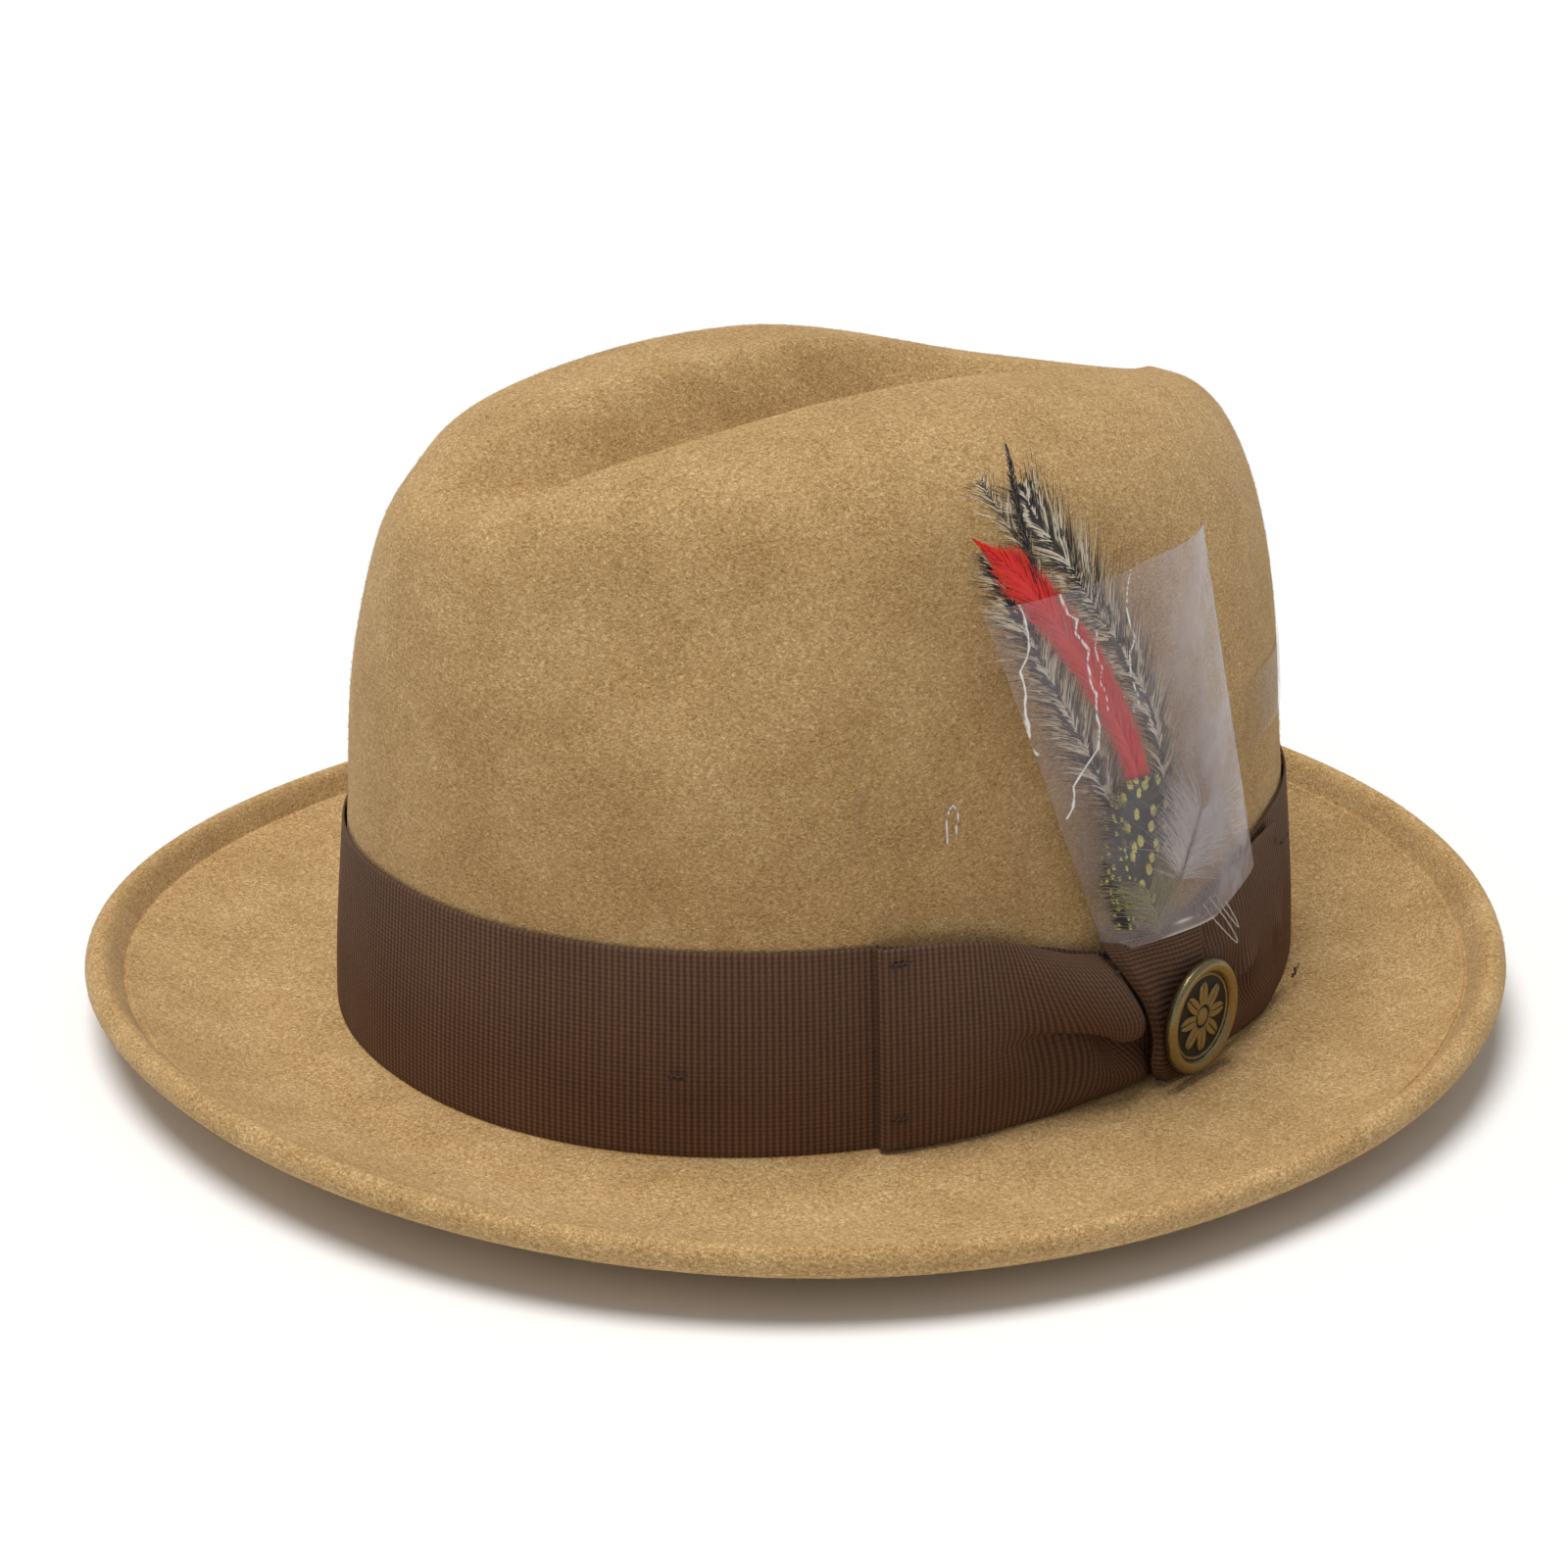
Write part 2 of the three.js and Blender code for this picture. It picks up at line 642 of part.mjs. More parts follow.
const REAR = Math.PI / 2;
function sweatbandBow() {
  const half = 9;
  const point = (out) => (u, v) => {
    const side = mix(-1, 1, u);
    const halfHeight = mix(1.6, 4.5, smooth(Math.abs(side) / 0.7));
    return onWall(REAR + (side * half) / CROWN.halfWidth, 33 + mix(-halfHeight, halfHeight, v), out);
  };
  return slab(point(-5.4), point(-6.6), 8, 2);
}
add("sweatband_bow", sweatbandBow(), "ribbon");

add(
  "lining_side",
  headStrip(LINING.bottom, LINING.top, LINING.out, LINING.thickness, [0, 0.35, 0.65, 0.85, 1]),
  "satin",
);

function liningTip() {
  const shares = [1, 0.86, 0.66, 0.42, 0.16];
  const sheet = (lower) =>
    shares.map((share) =>
      anglesAround.map((angle) => {
        const rim = onWall(angle, LINING.top, LINING.out);
        const x = rim.x * share;
        const y = CROWN.centreY + (rim.y - CROWN.centreY) * share;
        return vector(x, y, mix(LINING.crownZ, LINING.top + 1, share * share) - lower);
      }),
    );
  return skin([...sheet(0).reverse(), ...sheet(LINING.thickness)]);
}
add("lining_tip", liningTip(), "satin");

function sizeLabel() {
  const point = (out) => (u, v) => onWall(mix(degrees(102), degrees(114), u), mix(43, 55, v), out);
  return slab(point(-3.7), point(-4), 2, 1);
}
add("size_label", sizeLabel(), "label");

// ---- Tack stitches through the band and the bow ----

const TACKS = [
  [-82.7, 18.6, 1.9],
  [-43.6, 38.6, 4.2],
  [-43.9, 9.4, 4.2],
  [-1, 28.4, 5.8],
  [58, 35.6, 4.2],
  [63.5, 5.4, 4.2],
];
TACKS.forEach(([arc, z, out], i) => {
  const stitch = new THREE.CapsuleGeometry(0.35, 1.6, 2, 6);
  stitch.rotateX(Math.PI / 2);
  const mesh = add(`tack_${i + 1}`, stitch, "thread");
  mesh.position.copy(onBand(arc, z, out));
  mesh.rotation.z = angleAtArc(arc);
});

export default hat;
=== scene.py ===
import json
import math

import bpy
import numpy as np
from mathutils import Matrix, Vector


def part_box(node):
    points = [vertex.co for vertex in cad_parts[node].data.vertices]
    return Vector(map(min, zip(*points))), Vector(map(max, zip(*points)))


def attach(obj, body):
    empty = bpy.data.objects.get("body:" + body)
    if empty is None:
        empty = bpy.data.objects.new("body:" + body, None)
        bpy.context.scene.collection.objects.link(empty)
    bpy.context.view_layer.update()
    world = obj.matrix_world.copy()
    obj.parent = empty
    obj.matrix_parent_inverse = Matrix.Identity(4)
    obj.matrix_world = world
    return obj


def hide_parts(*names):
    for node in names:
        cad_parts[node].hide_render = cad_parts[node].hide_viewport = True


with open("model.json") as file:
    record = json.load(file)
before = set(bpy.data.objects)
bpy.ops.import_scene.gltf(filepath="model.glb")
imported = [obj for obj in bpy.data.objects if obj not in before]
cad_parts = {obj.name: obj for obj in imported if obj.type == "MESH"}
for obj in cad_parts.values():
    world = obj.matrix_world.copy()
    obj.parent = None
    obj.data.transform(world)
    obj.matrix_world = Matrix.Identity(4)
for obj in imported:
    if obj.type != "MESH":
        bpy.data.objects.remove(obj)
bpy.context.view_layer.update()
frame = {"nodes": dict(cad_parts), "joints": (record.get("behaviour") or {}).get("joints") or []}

# The hat's surfaces are worked out in millimetres, as its design is, and become metres in make_mesh.
MM = 0.001
TAU = 2 * math.pi

# These came from places read off the photograph, carried onto the hat through the camera and then
# changed: SAG, LOOP_TOP, LOOP_END_ARC, LOOP_END_Z, KNOT_LEFT, TAIL_END, CREASES, the shafts of the
# feathers, and the outlines of the sleeve, the tape and the nylon loop.

# ---- The hat's driving dimensions, the same as the frame's ----

CENTRE_Y = 8
CROWN_LENGTH, CROWN_WIDTH, CROWN_ROUND = 100.5, 84.6, 2.15
BASE_Z = 2.5
RAKE, RAKE_HEIGHT = 3.1, 55
CREST_LENGTH, CREST_WIDTH, CREST_Z, CREST_DROOP = 85, 23.5, 125.5, 0.0018
NOTCH, NOTCH_WIDTH = 2.5, 10
RIGHT_SINK = 6
SHOULDER = 3.1
DENT_DEPTH, DENT_CENTRE_Y = 22, -4
PINCH_DEPTH, PINCH_ANGLE, PINCH_Z, PINCH_LENGTH, PINCH_HEIGHT = 4, 52, 98, 26, 20
PINCH_LEFT_DEPTH, PINCH_LEFT_LENGTH = 2.4, 8
FELT, FELT_DOWN = 2.2, 2.9
BRIM_WIDTH, BRIM_LENGTH, BRIM_ROUND, BRIM_THICK, LIP = 141.3, 139.8, 2.1, 2.5, 7.6
CREASE_Z, CREASE_FRONT_BACK, CREASE_REAR, CREASE_LEFT = 9.7, 2.7, 1.7, 1.2
FLAT, FLAT_REAR_LOSS, CURL = 0.35, 0.2, 1.6
RIBBON_BOTTOM, RIBBON_WIDTH = 3.0, 38.1
RIBBON_OUT = 1.1
RIB_PITCH, RIB_DEPTH = 1.2, 0.1
SPRAY_BEND, SPRAY_MIDDLE = 130, 10
LINING_TOP, LINING_CROWN = 84, 95
REAR = math.pi / 2


def mix(a, b, share):
    return a + (b - a) * share


def smooth(x, low=0.0, high=1.0):
    x = np.clip((np.asarray(x, float) - low) / (high - low), 0, 1)
    return x * x * (3 - 2 * x)


def bump_at(x, middle, width):
    return np.exp(-(((x - middle) / width) ** 2))


def through(x, stops):
    """A smooth curve through (place, value) stops."""
    at, value = np.array(stops, float).T
    slope = np.gradient(value, at)
    i = np.clip(np.searchsorted(at, x) - 1, 0, len(at) - 2)
    gap = at[i + 1] - at[i]
    t = np.clip((x - at[i]) / gap, 0, 1)
    ends = value[i] + (value[i + 1] - value[i]) * t * t * (3 - 2 * t)
    return ends + gap * t * (1 - t) * (slope[i] * (1 - t) - slope[i + 1] * t)


def vec(x, y, z):
    return np.stack(np.broadcast_arrays(x, y, z), axis=-1).astype(float)


def unit(v):
    return v / np.maximum(np.linalg.norm(v, axis=-1, keepdims=True), 1e-12)


# ---- The crown and brim as surfaces ----


def oval(angle, exponent):
    c, s = np.cos(angle), np.sin(angle)
    return np.sign(c) * abs(c) ** (2 / exponent), np.sign(s) * abs(s) ** (2 / exponent)


def crest(angle):
    """The ridge round the dent, with y from the crown's own middle."""
    x, y = CREST_WIDTH * np.cos(angle), CREST_LENGTH * np.sin(angle)
    notch = np.where(y < 0, NOTCH * np.exp(-((x / NOTCH_WIDTH) ** 2)), 0)
    right = np.maximum(-np.cos(angle), 0) ** 0.7
    sink = RIGHT_SINK * right * smooth((np.sin(angle) - 0.1) / 0.65)
    return vec(x, y, CREST_Z - CREST_DROOP * y * y - notch - sink)


def pinch(angle, z):
    side = abs(np.arctan2(np.sin(angle), abs(np.cos(angle))) + math.radians(PINCH_ANGLE))
    left = np.sqrt(np.maximum(np.cos(angle), 0))
    along = side * CROWN_LENGTH / (PINCH_LENGTH + PINCH_LEFT_LENGTH * left)
    depth = PINCH_DEPTH + PINCH_LEFT_DEPTH * left
    return depth * np.exp(-along * along - ((z - PINCH_Z) / PINCH_HEIGHT) ** 2)


def dent_point(angle, share):
    """Inside the ridge: share 1 is the ridge and 2 the middle of the dent."""
    ridge, out = crest(angle), 2 - share
    z = mix(CREST_Z - DENT_DEPTH, ridge[..., 2], np.sin(math.pi * out / 2) ** 2)
    return vec(ridge[..., 0] * out, CENTRE_Y + mix(DENT_CENTRE_Y, ridge[..., 1], out), z)


def wall_point(angle, share):
    """Outside the ridge: share 0 is the foot of the wall and 1 the ridge."""
    ridge, turn = crest(angle), np.clip(share, 0, 1) * math.pi / 2
    outward = np.maximum(np.cos(turn), 0) ** (2 / SHOULDER)
    z = mix(BASE_Z, ridge[..., 2], np.sin(turn) ** (2 / SHOULDER))
    ox, oy = oval(angle, CROWN_ROUND)
    inward = RAKE * smooth(z / RAKE_HEIGHT) * outward + pinch(angle, z)
    x = mix(ridge[..., 0], CROWN_WIDTH * ox, outward) - inward * np.cos(angle)
    y = mix(ridge[..., 1], CROWN_LENGTH * oy, outward) - inward * np.sin(angle)
    return vec(x, CENTRE_Y + y, z)


def share_at(angle, z):
    rise = (z - BASE_Z) / (crest(angle)[..., 2] - BASE_Z)
    return np.arcsin(np.clip(rise, 0, 1) ** (SHOULDER / 2)) / (math.pi / 2)


def on_wall(angle, z, out=0.0):
    """A point on the wall at a height, this far out of it, measured level."""
    angle, z, out = np.broadcast_arrays(*(np.asarray(a, float) for a in (angle, z, out)))
    step = 1e-4
    point = wall_point(angle, share_at(angle, z))
    ahead = wall_point(angle + step, share_at(angle + step, z))
    behind = wall_point(angle - step, share_at(angle - step, z))
    along = unit(ahead - behind)
    return vec(point[..., 0] + along[..., 1] * out, point[..., 1] - along[..., 0] * out, z)


# Distance along the band from the middle of the wearer's left side, turned into an angle and back.
BAND_LEVEL = 20
BAND_ANGLES = np.radians(np.linspace(-180, 180, 1441))
BAND_STEPS = np.linalg.norm(np.diff(on_wall(BAND_ANGLES, BAND_LEVEL), axis=0), axis=1)
BAND_ARCS = np.concatenate([[0], np.cumsum(BAND_STEPS)])
BAND_ARCS -= np.interp(0, BAND_ANGLES, BAND_ARCS)


def angle_at(arc):
    return np.interp(arc, BAND_ARCS, BAND_ANGLES)


def on_band(arc, z, out):
    return on_wall(angle_at(arc), z, out)


def brim_edge(angle, inward, z):
    ox, oy = oval(angle, BRIM_ROUND)
    return vec(BRIM_WIDTH * ox - inward * np.cos(angle), BRIM_LENGTH * oy - inward * np.sin(angle), z)


def crease_z(angle):
    tilt = CREASE_REAR * np.sin(angle) + CREASE_LEFT * np.cos(angle)
    return CREASE_Z - CREASE_FRONT_BACK * np.cos(2 * angle) + tilt


def brim_top(angle, out):
    """The brim's upper surface: out is 0 at the crown's foot and 1 at the crease."""
    foot, crease = wall_point(angle, 0 * angle), brim_edge(angle, LIP, 0)
    flat = FLAT - FLAT_REAR_LOSS * np.maximum(np.sin(angle), 0) ** 3
    rise = (crease_z(angle) - BRIM_THICK) * np.maximum((out - flat) / (1 - flat), 0) ** CURL
    point = mix(foot, crease, np.asarray(out)[..., None])
    return vec(point[..., 0], point[..., 1], BRIM_THICK + rise)


# ---- Meshes from grids of points ----


def quads_of(index, close_rows=False, close_columns=False):
    """Faces between neighbours in a grid of vertex numbers."""
    if close_rows:
        index = np.vstack([index, index[:1]])
    if close_columns:
        index = np.hstack([index, index[:, :1]])
    corners = [index[:-1, :-1], index[1:, :-1], index[1:, 1:], index[:-1, 1:]]
    return np.stack(corners, axis=-1).reshape(-1, 4)


def make_mesh(name, points, faces, material, body, slot=None, replaces=(), **marks):
    """A piece from points in millimetres. marks are numbers or vectors for each point, for materials."""
    mesh = bpy.data.meshes.new(name)
    mesh.from_pydata((np.asarray(points) * MM).tolist(), [], [list(map(int, f)) for f in faces])
    mesh.shade_smooth()
    for key, values in marks.items():
        values = np.asarray(values, float)
        kind = "FLOAT" if values.ndim == 1 else "FLOAT_VECTOR"
        layer = mesh.attributes.new(key, kind, "POINT")
        layer.data.foreach_set("value" if kind == "FLOAT" else "vector", values.ravel())
    mesh.materials.append(material)
    piece = bpy.data.objects.new(name, mesh)
    bpy.context.scene.collection.objects.link(piece)
    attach(piece, body)
    if replaces:
        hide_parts(*replaces)
    return piece


def thin_solid(front, back, endless=False):
    """Points and faces of a thin closed piece between two grids, with marks taken from the front."""
    rows, columns = front.shape[:2]
    loop = np.concatenate([front, back[:, ::-1]], axis=1)
    index = np.arange(loop.shape[0] * loop.shape[1]).reshape(loop.shape[:2])
    faces = [quads_of(index, close_rows=endless, close_columns=True)]
    if not endless:
        for row, turn in ((index[0], 1), (index[-1], -1)):
            a, b = row[:columns], row[columns:][::-1]
            cap = np.stack([a[:-1], a[1:], b[1:], b[:-1]], axis=-1)
            faces.append(cap[:, ::turn])
    return loop.reshape(-1, 3), np.concatenate(faces)


def both_sides(values):
    """A mark for each point of thin_solid from one for each point of its front."""
    loop = np.concatenate([values, values[:, ::-1]], axis=1)
    return loop.reshape(-1, *values.shape[2:])


def facing_out(points, faces):
    """The faces, turned if they face in."""
    p = np.asarray(points)
    a, b, c = (p[faces[:, k]] for k in (0, 1, 2))
    d = p[faces[:, 3]] if faces.shape[1] == 4 else a
    volume = (a * np.cross(b, c)).sum() + (a * np.cross(c, d)).sum()
    return faces[:, ::-1] if volume < 0 else faces


def spline(points, count):
    """A smooth line through points, as a Catmull-Rom curve."""
    p = np.asarray(points, float)
    p = np.vstack([2 * p[0] - p[1], p, 2 * p[-1] - p[-2]])
    at = np.linspace(0, len(p) - 3 - 1e-9, count)
    i, t = at.astype(int), (at % 1)[:, None]
    a, b, c, d = p[i], p[i + 1], p[i + 2], p[i + 3]
    square, cube = 2 * a - 5 * b + 4 * c - d, 3 * b - a - 3 * c + d
    return 0.5 * (2 * b + (c - a) * t + square * t**2 + cube * t**3)


def tube(path, radius, sides=8):
    """Points and faces of a closed tube along a path. radius is one number or one for each point."""
    path = np.asarray(path, float)
    radius = np.broadcast_to(radius, len(path))
    along = unit(np.gradient(path, axis=0))
    side = unit(np.cross(along, [0.31, 0.17, 0.93]))
    up = np.cross(along, side)
    turn = np.arange(sides) * TAU / sides
    ring = side[:, None] * np.cos(turn)[None, :, None] + up[:, None] * np.sin(turn)[None, :, None]
    points = (path[:, None] + ring * radius[:, None, None]).reshape(-1, 3)
    index = np.arange(len(points)).reshape(-1, sides)
    faces = [list(f) for f in quads_of(index, close_columns=True)]
    faces += [list(index[0]), list(index[-1][::-1])]
    return points, faces


def joined(parts):
    """One list of points and faces from several."""
    points, faces, start = [], [], 0
    for p, f in parts:
        points.append(np.asarray(p))
        faces += [[int(i) + start for i in face] for face in f]
        start += len(p)
    return np.concatenate(points), faces


# ---- Materials ----


class Look:
    """A Principled material and short ways to add nodes to it."""

    def __init__(self, name, **fixed):
        self.material = bpy.data.materials.new(name)
        self.material.use_nodes = True
        self.tree = self.material.node_tree
        self.shader = self.tree.nodes["Principled BSDF"]
        for key, value in fixed.items():
            self.shader.inputs[key.replace("_", " ")].default_value = value

    def node(self, kind, inputs=None, **settings):
        made = self.tree.nodes.new("ShaderNode" + kind)
        for key, value in settings.items():
            setattr(made, key, value)
        for key, value in (inputs or {}).items():
            self.feed(made.inputs[key], value)
        return made

    def feed(self, socket, value):
        if isinstance(value, bpy.types.NodeSocket):
            self.tree.links.new(value, socket)
        else:
            socket.default_value = value

    def place(self):
        return self.node("TexCoord").outputs["Object"]

    def mark(self, name, vector=False):
        return self.node("Attribute", attribute_name=name).outputs["Vector" if vector else "Fac"]

    def parts(self, vector):
        return self.node("SeparateXYZ", {"Vector": vector}).outputs

    def math(self, operation, a, b=0.0, c=0.0):
        made = self.node("Math", operation=operation)
        for socket, value in zip(made.inputs, (a, b, c)):
            self.feed(socket, value)
        return made.outputs[0]

    def stretched(self, vector, scale, turn=(0, 0, 0)):
        return self.node("Mapping", {"Vector": vector, "Scale": scale, "Rotation": turn}).outputs[0]

    def times(self, a, b):
        return self.math("MULTIPLY", a, b)

    def plus(self, a, b):
        return self.math("ADD", a, b)

    def noise(self, vector, scale, detail=2.0, roughness=0.5, output="Fac"):
        values = {"Vector": vector, "Scale": scale, "Detail": detail, "Roughness": roughness}
        return self.node("TexNoise", values).outputs[output]

    def warped(self, vector, scale, amount):
        """The place moved about by noise, so that patterns aren't straight."""
        colour = self.noise(vector, scale, output="Color")
        middle = self.node("VectorMath", {0: colour, 1: (0.5, 0.5, 0.5)}, operation="SUBTRACT").outputs[0]
        moved = self.node("VectorMath", {0: middle, "Scale": amount}, operation="SCALE").outputs[0]
        return self.node("VectorMath", {0: vector, 1: moved}, operation="ADD").outputs[0]

    def ramp(self, value, *stops):
        """A colour for a value, from stops of (place, colour)."""
        made = self.node("ValToRGB", {"Fac": value})
        elements = made.color_ramp.elements
        for i, (at, colour) in enumerate(stops):
            element = elements[i] if i < 2 else elements.new(at)
            element.position = at
            element.color = (*colour, 1) if len(colour) == 3 else colour
        return made.outputs["Color"]

    def steps(self, value, low, high, to_low=0.0, to_high=1.0):
        values = {"Value": value, "From Min": low, "From Max": high, "To Min": to_low, "To Max": to_high}
        return self.node("MapRange", values, interpolation_type="SMOOTHSTEP").outputs[0]

    def blend(self, share, a, b, how="MIX"):
        made = self.node("Mix", data_type="RGBA", blend_type=how)
        self.feed(made.inputs["Factor"], share)
        self.feed(made.inputs[6], (*a, 1) if isinstance(a, tuple) else a)
        self.feed(made.inputs[7], (*b, 1) if isinstance(b, tuple) else b)
        return made.outputs[2]

    def finish(self, colour=None, roughness=None, height=None, depth=0.0003, strength=1.0, alpha=None):
        for key, value in (("Base Color", colour), ("Roughness", roughness), ("Alpha", alpha)):
            if value is not None:
                self.feed(self.shader.inputs[key], value)
        if height is not None:
            values = {"Height": height, "Distance": depth, "Strength": strength}
            bumped = self.node("Bump", values).outputs[0]
            self.tree.links.new(bumped, self.shader.inputs["Normal"])
        return self.material


def felt_look():
    """Brushed wool: short crimped flecks in two sizes over slow changes of tone."""
    look = Look("wool_felt", Sheen_Weight=0.18, Sheen_Roughness=0.5, Sheen_Tint=(1, 0.86, 0.62, 1),
                Specular_IOR_Level=0.1)
    place = look.place()
    warped = look.warped(place, 900, 0.0011)
    first = look.noise(look.stretched(warped, (1, 1, 2.2), (0.2, 0.1, 0.3)), 1250, 3, 0.75)
    second = look.noise(look.stretched(warped, (1, 1.3, 2.4), (-0.5, 0.4, 0.9)), 2100, 2, 0.7)
    fibres = look.plus(look.times(first, 0.6), look.times(second, 0.4))
    patches = look.noise(place, 60, 3, 0.6)
    shade = look.plus(fibres, look.times(look.math("SUBTRACT", patches, 0.5), 0.16))
    colour = look.ramp(
        shade,
        (0.34, (0.235, 0.128, 0.042)),
        (0.45, (0.420, 0.255, 0.100)),
        (0.55, (0.575, 0.375, 0.168)),
        (0.67, (0.840, 0.630, 0.370)),
    )
    return look.finish(colour, 0.95, fibres, 0.0005, 0.6)


def fibre_look():
    look = Look("wool_fibre", Sheen_Weight=0.2, Specular_IOR_Level=0.2)
    dark, middle, pale = (0.30, 0.165, 0.055), (0.56, 0.36, 0.155), (0.85, 0.64, 0.37)
    colour = look.ramp(look.mark("tone"), (0.0, dark), (0.5, middle), (1.0, pale))
    return look.finish(colour, 0.85)


def ribbon_look():
    """cloth is (along, across) the ribbon in millimetres."""
    look = Look("grosgrain", Sheen_Weight=0.04, Sheen_Roughness=0.4, Sheen_Tint=(0.9, 0.75, 0.65, 1),
                Specular_IOR_Level=0.2)
    along, across, _ = look.parts(look.mark("cloth", vector=True))
    rib = look.math("COSINE", look.times(along, TAU / RIB_PITCH))
    thread = look.math("SINE", look.times(across, TAU / 0.85))
    grain = look.noise(look.place(), 2600, 2)
    wear = look.noise(look.place(), 60, 3)
    # light is darker in the valleys between the ribs and lighter on their tops, painted shade over the ribs'
    # own relief, plus the threads, the grain and random wear.
    light = look.math("MULTIPLY_ADD", rib, 0.2, 0.5)
    light = look.plus(light, look.times(thread, 0.04))
    light = look.plus(light, look.times(look.math("SUBTRACT", grain, 0.5), 0.4))
    light = look.plus(light, look.times(look.math("SUBTRACT", wear, 0.5), 0.2))
    dark, middle, pale = (0.050, 0.024, 0.013), (0.118, 0.061, 0.036), (0.205, 0.117, 0.078)
    colour = look.ramp(light, (0.15, dark), (0.52, middle), (0.9, pale))
    height = look.plus(look.times(thread, 0.3), look.times(grain, 0.5))
    return look.finish(colour, 0.7, height, 0.00016, 0.7)


def brass_look():
    look = Look("antique_brass", Specular_IOR_Level=0.5)
    relief = look.mark("relief")
    place = look.place()
    rubbed = look.noise(place, 700, 4, 0.6)
    fine = look.noise(look.stretched(place, (1, 1, 3)), 3200, 2)
    worn = look.plus(relief, look.times(look.math("SUBTRACT", rubbed, 0.5), 0.5))
    show = look.steps(worn, 0.22, 0.6)
    metal = look.ramp(fine, (0.3, (0.20, 0.155, 0.070)), (0.7, (0.42, 0.345, 0.180)))
    colour = look.blend(show, (0.012, 0.010, 0.007), metal)
    look.feed(look.shader.inputs["Metallic"], look.steps(show, 0.1, 0.6))
    return look.finish(colour, look.steps(show, 0, 1, 0.62, 0.3), fine, 0.00006, 0.5)


def plain_brass_look():
    look = Look("turned_brass", Specular_IOR_Level=0.5, Metallic=1.0)
    fine = look.noise(look.stretched(look.place(), (1, 1, 3)), 3000, 3)
    metal = look.ramp(fine, (0.3, (0.22, 0.16, 0.06)), (0.7, (0.42, 0.32, 0.14)))
    return look.finish(metal, look.steps(fine, 0.3, 0.7, 0.3, 0.5), fine, 0.00005, 0.4)


def feather_look(name, colour_of, rough=0.55):
    """barb is (share up the feather, share out along a barb, a number of the barb's own)."""
    look = Look(name, Sheen_Weight=0.25, Sheen_Roughness=0.4, Specular_IOR_Level=0.35)
    along, across, own = look.parts(look.mark("barb", vector=True))
    return look.finish(colour_of(look, along, across, own), rough)


def red_colour(look, along, across, own):
    deep = look.ramp(own, (0.0, (0.45, 0.004, 0.006)), (0.6, (0.78, 0.008, 0.008)), (1.0, (0.92, 0.03, 0.02)))
    return look.blend(look.times(look.steps(across, 0.7, 1.0), 0.5), deep, (0.85, 0.12, 0.05))


def barred_colour(look, along, across, own):
    """Dark and cream bars that run back along the barbs, with blurred edges and brown tips."""
    back = look.math("MULTIPLY_ADD", across, -0.45, look.times(along, 8.5))
    patch = look.noise(look.place(), 160, 2)
    shifted = look.math("MULTIPLY_ADD", patch, 2.0, look.math("MULTIPLY_ADD", own, 0.42, back))
    bar = look.steps(look.math("SINE", look.times(shifted, TAU)), -0.15, 0.75)
    cream = look.ramp(own, (0.0, (0.42, 0.31, 0.18)), (0.5, (0.72, 0.61, 0.44)), (1.0, (0.86, 0.80, 0.68)))
    dark = look.ramp(own, (0.0, (0.010, 0.009, 0.010)), (1.0, (0.055, 0.045, 0.040)))
    barred = look.blend(bar, dark, cream)
    brown = look.times(look.steps(across, 0.62, 1.0), look.steps(along, 0.5, 0.75, 0.2, 0.95))
    return look.blend(brown, barred, look.ramp(own, (0.0, (0.10, 0.055, 0.02)), (1.0, (0.42, 0.27, 0.09))))


def dark_colour(look, along, across, own):
    black, worn = (0.008, 0.007, 0.008), (0.022, 0.02, 0.022)
    return look.ramp(own, (0.0, black), (0.7, worn), (1.0, (0.10, 0.08, 0.06)))


def olive_colour(look, along, across, own):
    deep = look.ramp(own, (0.0, (0.06, 0.055, 0.018)), (0.5, (0.17, 0.15, 0.05)), (1.0, (0.40, 0.37, 0.15)))
    return look.blend(look.steps(across, 0.5, 1.0), deep, (0.42, 0.40, 0.22))


def fluff_colour(look, along, across, own):
    pale = look.ramp(own, (0.0, (0.30, 0.25, 0.23)), (0.5, (0.58, 0.53, 0.51)), (1.0, (0.84, 0.81, 0.80)))
    return look.blend(look.steps(across, 0.0, 0.25), (0.25, 0.19, 0.14), pale)


def spotted_look():
    """spot is (side, height) of the vane in millimetres, so that dots run on across the barbs."""
    look = Look("spotted_vane", Sheen_Weight=0.2, Specular_IOR_Level=0.35)
    own = look.parts(look.mark("barb", vector=True))[2]
    side, height, _ = look.parts(look.mark("spot", vector=True))
    stepped = look.math("MULTIPLY_ADD", own, 0.7, height)
    place = look.node("CombineXYZ", {"X": side, "Y": stepped}).outputs[0]

    def dots(scale, size):
        vector = look.stretched(place, (1, 0.66, 1))
        values = {"Vector": vector, "Scale": scale, "Randomness": 0.8}
        cells = look.node("TexVoronoi", values, voronoi_dimensions="2D")
        return look.steps(cells.outputs["Distance"], size + 0.05, size - 0.03)

    large, small = dots(0.36, 0.25), dots(0.62, 0.20)
    dot = look.blend(look.steps(side, -1.5, -5.0), large, small)
    dark = look.ramp(own, (0.0, (0.006, 0.009, 0.008)), (1.0, (0.030, 0.038, 0.034)))
    yellow = look.ramp(own, (0.0, (0.55, 0.47, 0.05)), (1.0, (0.86, 0.80, 0.22)))
    return look.finish(look.blend(dot, dark, yellow), 0.5)


def quill_look():
    look = Look("quill", Specular_IOR_Level=0.5)
    tone = look.noise(look.place(), 900, 2)
    return look.finish(look.ramp(tone, (0.3, (0.34, 0.24, 0.14)), (0.7, (0.62, 0.5, 0.34))), 0.35)


